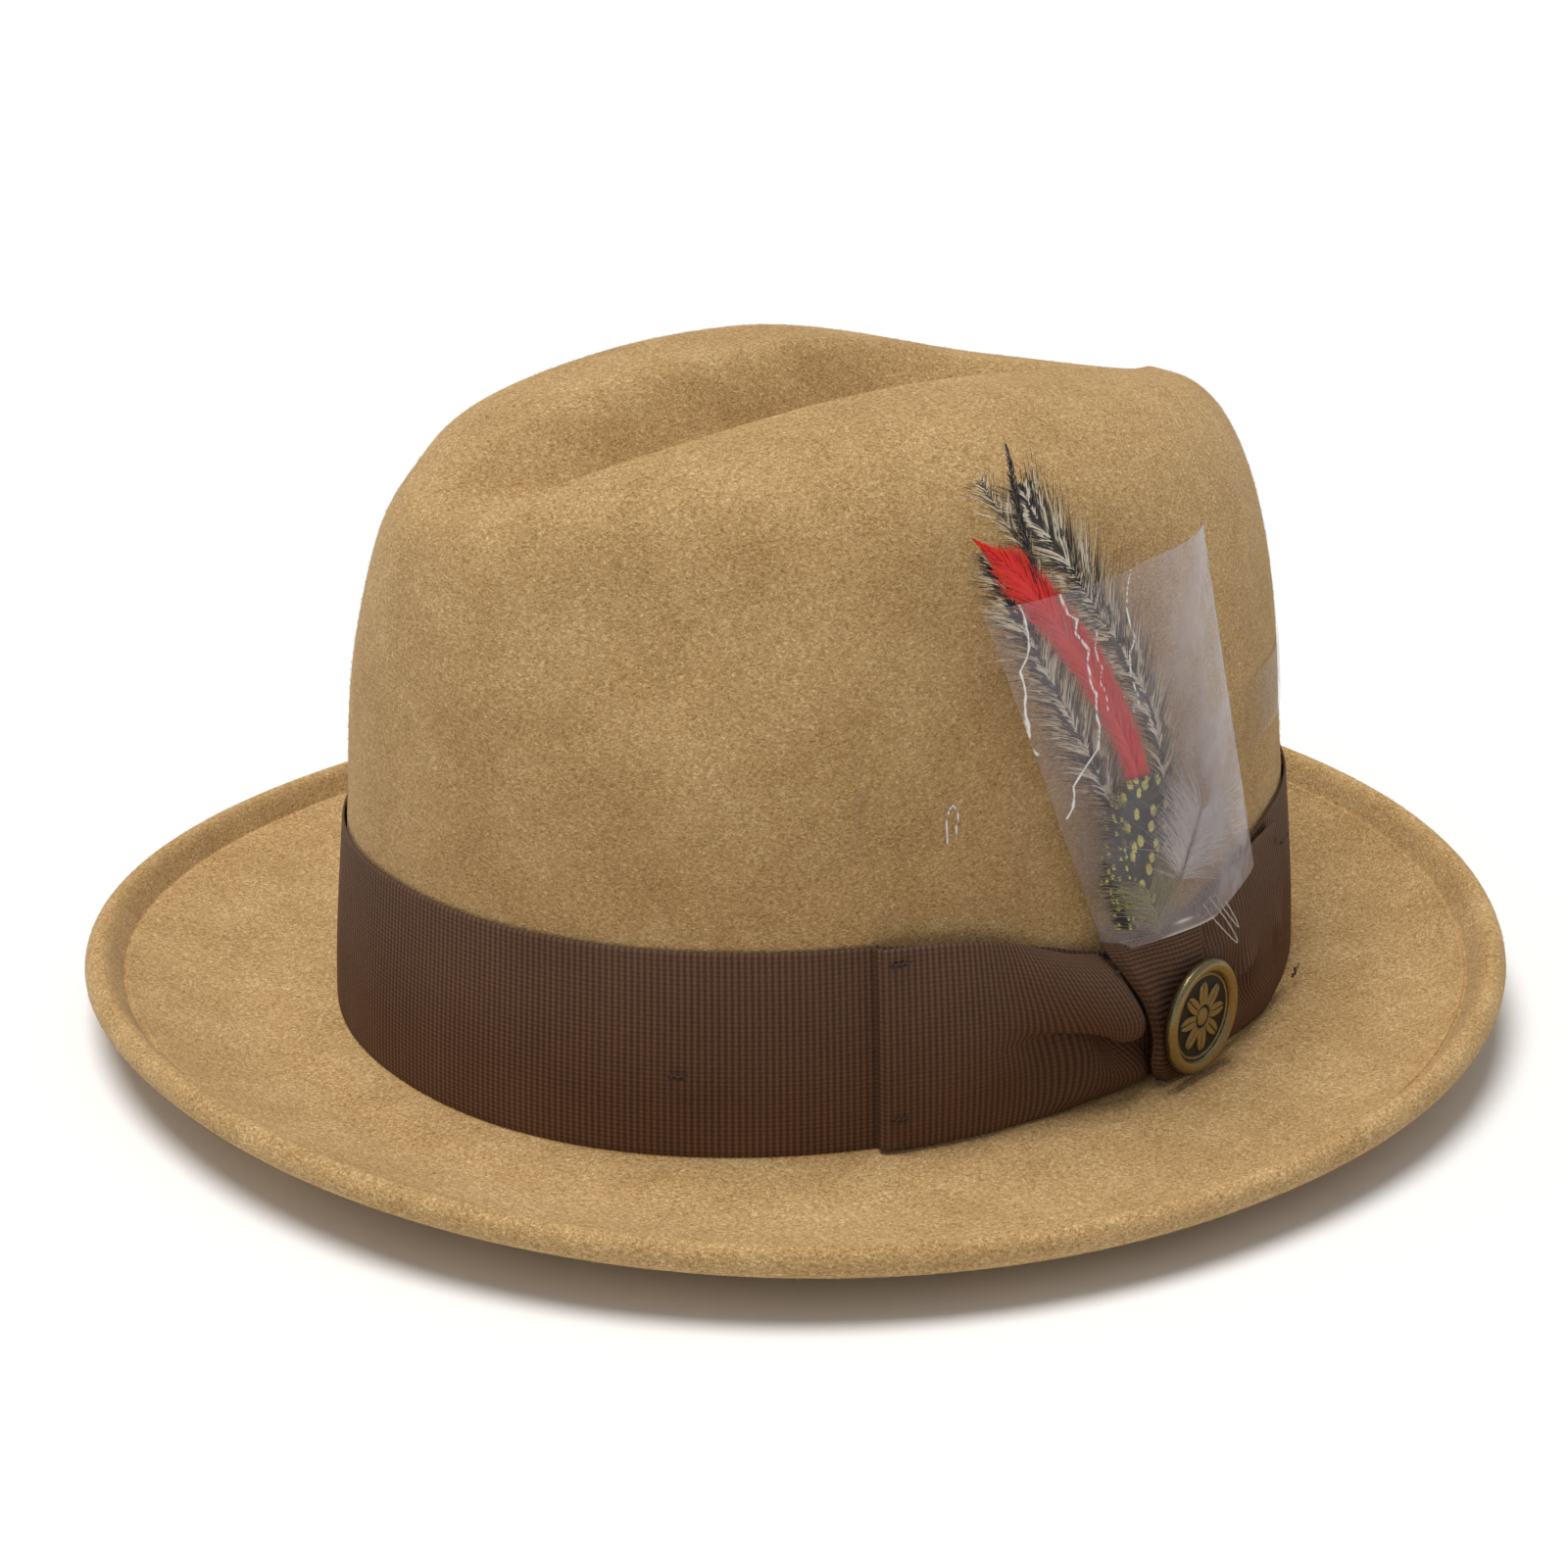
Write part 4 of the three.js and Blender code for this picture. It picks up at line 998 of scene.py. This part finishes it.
def feather(name, node, look, slot, shaft, out, half_width, barbs, seed, lean=0.9, spread=0.09, strip=0.22,
            curl=0.0, ragged=0.12, bend=0.2):
    """A shaft with two rows of barbs. shaft is a list of (side, height), half_width(share) in millimetres."""
    rng = np.random.default_rng(seed)
    line, share = spline(shaft, 60), np.linspace(0, 1, 60)
    count = barbs * 2
    own = rng.random(count)
    at = np.clip(np.repeat(np.linspace(0, 1, barbs), 2) + rng.normal(0, 0.004, count), 0, 1)
    which = np.tile([-1.0, 1.0], barbs)
    start = np.stack([np.interp(at, share, line[:, k]) for k in (0, 1)], axis=-1)
    ahead = np.stack([np.interp(at + 0.02, share, line[:, k]) for k in (0, 1)], axis=-1)
    before = np.stack([np.interp(at - 0.02, share, line[:, k]) for k in (0, 1)], axis=-1)
    along = unit(ahead - before)
    normal = np.stack([along[:, 1], -along[:, 0]], axis=-1) * which[:, None]
    splay = np.clip(lean + rng.normal(0, spread, count), -1.2, 1.35)
    length = half_width(at) * (1 + rng.normal(0, ragged, count)) / max(math.cos(lean * (1 - bend / 2)), 0.25)
    jitter = rng.normal(0, 1, (count, 2))
    points, marks, spots = [], [], []
    for s in np.linspace(0, 1, 6):
        turn = splay * (1 - bend * s)
        direction = normal * np.cos(turn)[:, None] + along * np.sin(turn)[:, None]
        reach, stray = (length * s)[:, None], jitter[:, :1] * 0.03 * s * length[:, None]
        middle = start + direction * reach + normal * stray
        wide = strip * (1 - 0.7 * s) / 2
        edge = np.stack([-direction[:, 1], direction[:, 0]], axis=-1)
        lift = 0.3 * np.sin(math.pi * s) + jitter[:, 1] * 0.12 * s + own * 0.3
        for sign in (-1, 1):
            flat = middle + edge * wide * sign
            points.append(spray_place(flat[:, 0], flat[:, 1], out + lift - curl_in(flat[:, 1], curl)))
            marks.append(np.stack([at, np.full(count, s), own], axis=-1))
            spots.append(np.stack([flat[:, 0], flat[:, 1], 0 * own], axis=-1))
    points, marks, spots = (np.stack(x, axis=1).reshape(-1, 3) for x in (points, marks, spots))
    base = np.arange(count)[:, None] * 12
    faces = np.concatenate([base + np.array([[2 * k, 2 * k + 1, 2 * k + 3, 2 * k + 2]]) for k in range(5)])
    make_mesh(name, points, faces, look, "feather_spray", slot, [node] if node else (), barb=marks,
              spot=spots)
    path = spray_place(line[:, 0], line[:, 1], out - 0.1 - curl_in(line[:, 1], curl))
    shaft_points, shaft_faces = tube(path, SHAFT_RADIUS * mix(1, 0.25, share), 6)
    make_mesh(name + "_shaft", shaft_points, shaft_faces, QUILL_LOOK, "feather_spray", slot)


def curl_in(height, curl):
    """How far the free tips above the sleeve fall back towards the crown."""
    return curl * np.maximum((height - 76) / 25, 0) ** 2


def widths(*stops):
    at, wide = zip(*stops)
    return lambda share: np.interp(share, at, wide)


QUILL_LOOK = quill_look()
BARRED_LOOK = feather_look("barred_barbs", barred_colour)
DARK_LOOK = feather_look("dark_barbs", dark_colour)


def feathers():
    feather("barred_feather_side", "feather_barred_side", BARRED_LOOK, "barred_feather",
            [[1, 16], [-3, 30], [-8, 46], [-13, 62], [-18, 78], [-20.5, 88]], 2.2,
            widths((0, 2), (0.25, 4.2), (0.7, 4.2), (0.9, 2.2), (1, 0.3)),
            480, 21, curl=5, lean=1.18, ragged=0.25, spread=0.12)
    feather("barred_feather_long", "feather_barred_long", BARRED_LOOK, "barred_feather",
            [[8, 14], [10, 34], [8, 48], [2, 64], [-4, 77], [-8, 87], [-9, 95]], 2.7,
            widths((0, 2), (0.3, 4.0), (0.6, 5.4), (0.85, 4.2), (1, 0.3)),
            620, 22, curl=8, lean=1.18, ragged=0.25, spread=0.12)
    feather("brown_tuft", None, BARRED_LOOK, "barred_feather",
            [[-10, 76], [-13.5, 86], [-15, 94], [-15.5, 98]], 2.9,
            widths((0, 1.5), (0.5, 2.6), (1, 0.5)),
            80, 28, curl=8, lean=1.15, strip=0.15, ragged=0.4, spread=0.16)
    feather("golden_tuft", None, BARRED_LOOK, "barred_feather",
            [[1, 64], [-2, 71], [-4.5, 77]], 3.1,
            widths((0, 2), (0.5, 3), (1, 1)), 110, 29, curl=8, lean=1.05, strip=0.16, ragged=0.3, spread=0.14)
    feather("dark_tip_feather", None, DARK_LOOK, "barred_feather",
            [[-13.5, 79], [-12.4, 90], [-7.6, 101]], 3.9, widths((0, 0.6), (0.5, 0.8), (1, 0.2)),
            60, 23, curl=9, strip=0.3, lean=1.3, bend=0.0)
    feather("red_feather_main", "feather_red", feather_look("red_barbs", red_colour, 0.45), "red_feather",
            [[5.0, 23], [3.5, 30], [0.5, 43], [-4.5, 58], [-12.3, 74], [-16.5, 82], [-22.5, 91]], 3.6,
            widths((0, 1.8), (0.3, 2.9), (0.66, 3.3), (0.78, 2.3), (0.9, 0.9), (1, 0.03)),
            560, 24, curl=6, strip=0.26, lean=1.27, bend=0.04, spread=0.04, ragged=0.08)
    feather("spotted_feather_main", "feather_spotted", spotted_look(), "spotted_feather",
            [[-3, 4], [-2, 12], [0, 22], [2.5, 33]], 4.3,
            widths((0, 5), (0.3, 8), (0.75, 8), (0.95, 4), (1, 1)),
            300, 25, strip=0.34, lean=0.6, ragged=0.08)
    feather("olive_feather_base", "feather_olive", feather_look("olive_barbs", olive_colour), "olive_feather",
            [[1, 1], [1, 6], [0, 11]], 4.6, widths((0, 5), (0.6, 7), (1, 5)),
            170, 26, strip=0.15, lean=0.95, ragged=0.3, spread=0.15)
    feather("fluff_feather", "feather_fluff", feather_look("down_barbs", fluff_colour), "pale_feather",
            [[8, 9], [12, 14], [16, 19]], 4.7, widths((0, 6), (0.5, 9), (1, 6)),
            560, 27, strip=0.12, lean=0.75, ragged=0.35, spread=0.3)


def spray_fittings():
    """The thread wound round the quills, tucked behind the bow."""
    turns, thread, radius = 15, 0.34, 0.95
    angle = np.linspace(0, TAU * turns, turns * 22)
    side = np.linspace(-5.2, 5.2, len(angle))
    path = np.stack([2.5 + radius * np.cos(angle), side, 7.8 + radius * np.sin(angle)], axis=-1)
    world = path @ SPRAY_TURN.T + SPRAY_FOOT
    points, faces = tube(world, thread, 6)
    make_mesh("quill_binding", points, faces, THREAD_LOOK, "feather_spray", "thread", ["feather_binding"])


# ---- Clear sleeve, tape and nylon loop ----

SLEEVE_OUT, SLEEVE_BULGE, SLEEVE_BACK = 1.8, 4.6, 1.3


def sleeve_side(height, share):
    return mix(-9.2 - 0.178 * height, 34.4 - 0.03 * height, share)


def sleeve_height(level, share):
    """The sleeve is cut on a slant at both ends. level is 0 at its lower end and 1 at its upper end."""
    lower = 2.0 - 4.0 * np.minimum(share / 0.54, 1)
    return mix(lower, 78.0 - 7.5 * share, level)


def distance_to_line(x, y, line):
    """How far points of a plane are from a line through points."""
    best = np.full(np.shape(x), np.inf)
    for (ax, ay), (bx, by) in zip(line[:-1], line[1:]):
        dx, dy = bx - ax, by - ay
        t = np.clip(((x - ax) * dx + (y - ay) * dy) / (dx * dx + dy * dy), 0, 1)
        best = np.minimum(best, np.hypot(x - ax - t * dx, y - ay - t * dy))
    return best


def zigzag(points, seed, step=2.2, swing=0.38):
    """A line broken into short straight bits, as a crease in stiff film runs."""
    rng = np.random.default_rng(seed)
    line = spline(points, 60)
    length = np.concatenate([[0], np.cumsum(np.linalg.norm(np.diff(line, axis=0), axis=1))])
    at = np.arange(0, length[-1], step)
    path = np.stack([np.interp(at, length, line[:, k]) for k in (0, 1)], axis=-1)
    return path + rng.normal(0, swing, path.shape) * [1, 0.4]


# Creases of the sleeve's front film, as (side, height) in the spray's own frame, with a seed and the width of
# the white glint, a painted highlight, drawn along each.
CREASES = [
    ([(-18, 77.5), (-17.6, 70), (-18.9, 65), (-18.5, 54), (-17.6, 46)], 31, 0.26),
    ([(-11, 76.5), (-7.6, 67), (-7, 57.5), (-7, 47.5), (-10, 42.5), (-12.5, 38), (-14, 31.5)], 32, 0.34),
    ([(-4.5, 68), (-5, 58.5), (-4, 50)], 33, 0.22),
    ([(5.5, 76.5), (3, 67), (4.6, 61), (2.1, 59.5), (2.5, 53), (3.5, 46)], 34, 0.28),
    ([(0, 52), (1.5, 46)], 35, 0.18),
    ([(19, 70), (13, 57)], 36, 0.12),
    ([(24, 12), (30, 4)], 37, 0.14),
]


def sleeve_out(share, bulge):
    return SLEEVE_OUT + bulge * np.sin(math.pi * np.clip(share, 0, 1)) ** 0.45


def sleeve():
    spread = 0.5 - 0.5 * np.cos(math.pi * np.linspace(0, 1, 190))
    share, level = np.meshgrid(spread, np.linspace(0, 1, 270), indexing="xy")
    height = sleeve_height(level, share)
    side = sleeve_side(height, share)
    crease, ridge = np.zeros_like(side), np.zeros_like(side)
    # crease is a painted highlight, a white glint along each crease line, its width varied by worn; ridge
    # raises the film there.
    for line, seed, width in CREASES:
        away = distance_to_line(side, height, zigzag(line, seed))
        worn = 0.72 + 0.28 * np.sin(height * 1.9 + seed) * np.sin(height * 0.63 + 2 * seed)
        crease = np.maximum(crease, np.exp(-((away / (width * worn)) ** 2)) * min(1, width * 4))
        ridge += 0.35 * np.exp(-((away / 1.6) ** 2))
    # Painted highlights: a glint along the folded lower hem, strongest where lit, a short glint just above
    # it, and thin bright lines at the side edges and the top edge.
    lit = 0.35 + 0.65 * smooth(share, 0.16, 0.3) * (1 - smooth(share, 0.5, 0.62))
    hem = np.exp(-((level / 0.011) ** 2)) * lit
    glint = bump_at(level, 0.03, 0.008) * bump_at(share, 0.36, 0.07)
    sides = np.exp(-((share / 0.004) ** 2)) + 0.6 * np.exp(-(((1 - share) / 0.004) ** 2))
    top_edge_glint = np.exp(-(((1 - level) / 0.003) ** 2))
    crease = np.clip(crease + 0.7 * hem + 0.8 * glint + 0.3 * sides + 0.3 * top_edge_glint, 0, 1)
    rng = np.random.default_rng(40)
    ripple = 0 * side
    for _ in range(9):
        across, up, phase = rng.normal(0, 0.22), rng.normal(0, 0.13), rng.uniform(0, TAU)
        ripple = ripple + np.sin(side * across + height * up + phase)
    out = sleeve_out(share, SLEEVE_BULGE) + (0.16 * ripple + ridge) * np.sin(math.pi * share)
    right = smooth(side, 8 - 6 * smooth(height, 20, 40), 22)
    cloud = np.maximum(mix(0.38, 1.0, right), mix(0.75, 0.38, smooth(height, 3, 12)))
    film = film_look("sleeve_film", (0.42, 0.66), (0.50, 0.46, 0.50))
    index = np.arange(side.size).reshape(side.shape)
    front = spray_place(side, height, out).reshape(-1, 3)
    make_mesh("sleeve_front_film", front, quads_of(index), film, "hat", "clear_film", ["feather_sleeve"],
              crease=crease.ravel(), cloud=cloud.ravel())
    sub = (slice(None, None, 5), slice(None, None, 5))
    raised = np.maximum(height[sub], 5.2)
    back_out = sleeve_out(share[sub], -SLEEVE_BACK) + 0.05 * ripple[sub] * np.sin(math.pi * share[sub])
    back = spray_place(sleeve_side(raised, share[sub]), raised, back_out)
    index = np.arange(raised.size).reshape(raised.shape)
    make_mesh("sleeve_back_film", back.reshape(-1, 3), quads_of(index)[:, ::-1], film, "hat", "clear_film",
              crease=np.zeros(raised.size), cloud=np.full(raised.size, 0.1))


def tape():
    """The strip that holds the sleeve: on the felt, over the sleeve, and on the felt again."""
    bottom, width, rows = 56.5, 13.0, 60
    v = np.linspace(0, 1, rows)
    z = bottom + width * v

    def on_felt(start, end, count):
        return [on_wall(math.radians(a) + 0 * v, z, 0.35) for a in np.linspace(start, end, count)]

    def over_sleeve(side):
        height = z - SPRAY_FOOT[2] - 0.215 * side
        share = np.clip((side + 15) / 49, 0, 1)
        return spray_place(side + 0 * z, height, sleeve_out(share, SLEEVE_BULGE) + 0.75)

    first, last = on_felt(-28, -17, 40), on_felt(34, 60, 60)
    over = [over_sleeve(s) for s in np.linspace(-19.5, 35, 110)]
    bridge = [mix(first[-1], over[0], share) for share in np.linspace(0, 1, 40)[1:-1]]
    grid = np.array([*first, *bridge, *over, *last])
    along = np.concatenate([[0], np.cumsum(np.linalg.norm(np.diff(grid[:, rows // 2], axis=0), axis=1))])
    a, c = np.meshgrid(along, width * v, indexing="ij")
    # Painted highlights in crease: a broken white glint at the tape's cut end, lighter lines along both edges
    # and a small looped glint where it wrinkles by the sleeve.
    broken = np.sin(c * 3.1) * np.sin(c * 7.7) > 0.1
    crease = 0.5 * np.exp(-(((a - 0.4 - 0.12 * c) / 0.2) ** 2)) * broken
    edge_glints = np.exp(-((c / 0.12) ** 2)) + np.exp(-(((width - c) / 0.12) ** 2))
    crease = np.clip(crease + 0.16 * edge_glints, 0, 1)
    loop = [(17.6, 1.6), (17.8, 6.4), (19.2, 8.6), (19.5, 6.4), (19.2, 1.8)]
    glint_loop_away = distance_to_line(a, c, zigzag(loop, 51, 1.2, 0.12))
    crease = np.maximum(crease, 0.9 * np.exp(-((glint_loop_away / 0.2) ** 2)))
    end_of_sleeve = along[-len(last)]
    cloud = 0.08 + 0.92 * smooth(a, end_of_sleeve - 1, end_of_sleeve + 1)
    film = film_look("tape_film", (0.22, 0.32), (0.25, 0.16, 0.075))
    index = np.arange(a.size).reshape(a.shape)
    make_mesh("clear_tape", grid.reshape(-1, 3), quads_of(index), film, "hat", "clear_film", ["sleeve_tape"],
              crease=crease.ravel(), cloud=cloud.ravel())


NYLON_LOOK = grained_look("nylon", (0.72, 0.7, 0.66), (0.93, 0.92, 0.9), 0.12, 1500, 0.00004, alpha=0.4,
                          IOR=1.5, Specular_IOR_Level=0.6)


def nylon_loop():
    """A loop of nylon thread that hangs below the sleeve, held in its film at both ends."""
    ways = [
        [(12.6, 1.5, 5.8), (14, -2, 6.4), (16.6, -6.5, 6.8), (18.8, -9.8, 6.9), (19.6, -10.6, 6.9),
         (19.4, -9, 6.9), (17.6, -4.8, 6.8), (15.8, -1, 6.4), (14.6, 2, 5.8)],
        [(16.4, 1.5, 5.9), (17.4, -2, 6.6), (19.4, -6, 7.0), (20.4, -7.6, 7.1), (20, -5.6, 7.0),
         (18.4, -1, 6.4)],
    ]
    parts = []
    for way in ways:
        line = spline(way, 60)
        parts.append(tube(spray_place(line[:, 0], line[:, 1], line[:, 2]), 0.14, 8))
    points, faces = joined(parts)
    make_mesh("nylon_thread_loop", points, faces, NYLON_LOOK, "hat", "clear_film", ["nylon_loop"])


# ---- Stitches ----

THREAD_LOOK = grained_look("brown_thread", (0.020, 0.010, 0.008), (0.085, 0.045, 0.032), 0.7, 4200, 0.0001,
                           0.8, stretch=(1, 1, 0.4), Sheen_Weight=0.15, Specular_IOR_Level=0.3)


def tack_stitches():
    """Each tack is two short strands side by side with a loose end."""
    for i in range(1, 7):
        low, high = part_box(f"tack_{i}")
        middle = (np.array(low) + np.array(high)) / 2 / MM
        angle = math.atan2(middle[1] - CENTRE_Y, middle[0])
        along = unit(on_wall(angle + 0.01, middle[2]) - on_wall(angle - 0.01, middle[2]))
        out, up = np.array([along[1], -along[0], 0]), np.array([0, 0, 1.0])
        rng = np.random.default_rng(60 + i)
        tilt = rng.uniform(-0.25, 0.25)
        parts = []
        for k in range(2):
            share = np.linspace(-1, 1, 26)
            lift = 0.45 * np.cos(share * math.pi / 2) - 0.25
            wobble = 0.12 * np.sin(share * 9 + k * math.pi)
            path = (middle + np.outer(share * 1.5, along) + np.outer(lift, out)
                    + np.outer(wobble + (k - 0.5) * 0.35 + share * tilt, up))
            parts.append(tube(path, 0.2, 8))
        end = np.array([middle + along * 1.3, middle + along * 1.9 + out * 0.4 + up * 0.5,
                        middle + along * 2.1 + out * 0.5 + up * 1.2])
        parts.append(tube(spline(end, 12), 0.1, 6))
        points, faces = joined(parts)
        make_mesh(f"tack_stitch_{i}", points, faces, THREAD_LOOK, "hat", "thread", [f"tack_{i}"])


# ---- Inside ----


SATIN_LOOK = satin_look()
SWEATBAND_BOW_Z = 33
LABEL_LOOK = speckled_look("woven_label", (0.72, 0.69, 0.62), (0.88, 0.86, 0.8), 0.75, 2600.0)


def head_band(name, node, look, slot, z_out, count, thick, ripple):
    """A strip round the inside of the hat. z_out is a list of (z, out) up the strip."""
    t = np.arange(count) * TAU / count
    section = spline(z_out, 40)

    def layer(lift):
        return np.array([on_wall(t, z, out + ripple(t, z) + lift) for z, out in section]).transpose(1, 0, 2)

    points, faces = thin_solid(layer(0), layer(thick), endless=True)
    return make_mesh(name, points, facing_out(points, faces), look, "hat", slot, [node])


def inside():
    head_band("leather_sweatband", "sweatband", leather_look(), "sweatband_leather",
              [(1, -4.3), (3, -4.9), (12, -5.0), (24, -5.1), (36, -5.0), (40, -4.8)], 260, 0.8,
              lambda t, z: 0)
    lining = head_band("satin_lining_side", "lining_side", SATIN_LOOK, "satin",
                       [(14, -3.2), (30, -3.3), (50, -3.25), (70, -3.25), (84, -3.25)], 460, 0.5,
                       lambda t, z: 0.14 * np.sin(t * 46) * smooth(z, 50, 84))
    lining_disc()
    sweatband_ribbon()
    woven_label()


def lining_disc():
    """The satin that closes the top of the lining, in soft folds that run in from its rim."""
    t, share = np.meshgrid(np.arange(480) * TAU / 480, np.linspace(1, 0.003, 32), indexing="ij")
    rim = on_wall(t, LINING_TOP, -3.0)
    wave = (1 + np.sin(t * 46 + 2 * np.sin(t * 5))) / 2
    fold = 0.3 * wave * smooth(share, 0.12, 0.75) * (1 - 0.5 * smooth(share, 0.9, 1.0))
    x, y = rim[..., 0] * share, CENTRE_Y + (rim[..., 1] - CENTRE_Y) * share
    z = mix(LINING_CROWN, LINING_TOP + 1, share * share) - 0.1 - fold
    points, faces = thin_solid(vec(x, y, z), vec(x, y, z - 0.3), endless=True)
    piece = make_mesh("satin_lining_tip", points, facing_out(points, faces), SATIN_LOOK, "hat", "satin",
                      ["lining_tip"])


def sweatband_ribbon():
    """The small flat bow over the sweatband's joint: two gathered loops and a wrap round its waist."""
    side, across = np.meshgrid(np.linspace(-1, 1, 97), np.linspace(0, 1, 33), indexing="ij")
    reach = abs(side)
    tall = mix(1.3, 4.5, smooth(reach, 0.0, 0.65)) * (1 - 0.25 * smooth(reach, 0.85, 1.0) ** 2)
    puff = 0.7 * np.sin(math.pi * reach) ** 0.7 * np.sin(math.pi * across) ** 0.5
    gather = 0.16 * np.sin(across * 26) * (1 - smooth(reach, 0.1, 0.7))

    def loops(thick):
        height = SWEATBAND_BOW_Z + (across - 0.5) * 2 * tall
        return on_wall(REAR + side * 9 / CROWN_WIDTH, height, thick - 5.75 - puff - gather)

    def wrap(thick):
        out = thick - 6.15 - 0.6 * np.sin(math.pi * across) ** 0.5 + 0.25 * reach ** 4
        return on_wall(REAR + side * 1.5 / CROWN_WIDTH, SWEATBAND_BOW_Z + (across - 0.5) * 4.4, out)

    for name, place, width, length in (("loops", loops, 18, 9), ("wrap", wrap, 3, 4.4)):
        points, faces = thin_solid(place(0.25), place(0.0))
        cloth = np.stack([side * width / 2, across * length, 0 * side], axis=-1)
        piece = make_mesh("sweatband_bow_" + name, points, facing_out(points, faces), RIBBON_LOOK, "hat",
                          "ribbon", ["sweatband_bow"], cloth=both_sides(cloth))


def woven_label():
    """A blank woven label sewn to the lining beside the rear."""
    u, v = np.meshgrid(np.linspace(-1, 1, 41), np.linspace(-1, 1, 41), indexing="ij")
    angle, z = math.radians(108) + u * math.radians(6), 49 + v * 6
    hem = 0.12 * smooth(abs(v), 0.84, 0.88)
    out = -3.75 - hem - 0.06 * np.sin(u * 4 + v * 2)
    points, faces = thin_solid(on_wall(angle, z, out + 0.2), on_wall(angle, z, out))
    piece = make_mesh("woven_size_label", points, facing_out(points, faces), LABEL_LOOK, "hat", "label",
                      ["size_label"])


# ---- Build ----

camera()
studio()
felt()
band_ribbon()
bow_under_layer()
bow_front_loop()
bow_rear_tail()
bow_knot()
badge()
feathers()
spray_fittings()
sleeve()
tape()
nylon_loop()
tack_stitches()
inside()

LEFT_LOOKS = {
    "badge_post": plain_brass_look(),
    "badge_clutch": plain_brass_look(),
    "feather_tab": speckled_look("black_card", (0.03, 0.027, 0.024), (0.07, 0.062, 0.055), 0.9),
    "sweatband_reed": speckled_look("reed_plastic", (0.62, 0.58, 0.5), (0.78, 0.75, 0.68), 0.4),
}
for node, material in LEFT_LOOKS.items():
    frame["nodes"][node].data.materials.clear()
    frame["nodes"][node].data.materials.append(material)
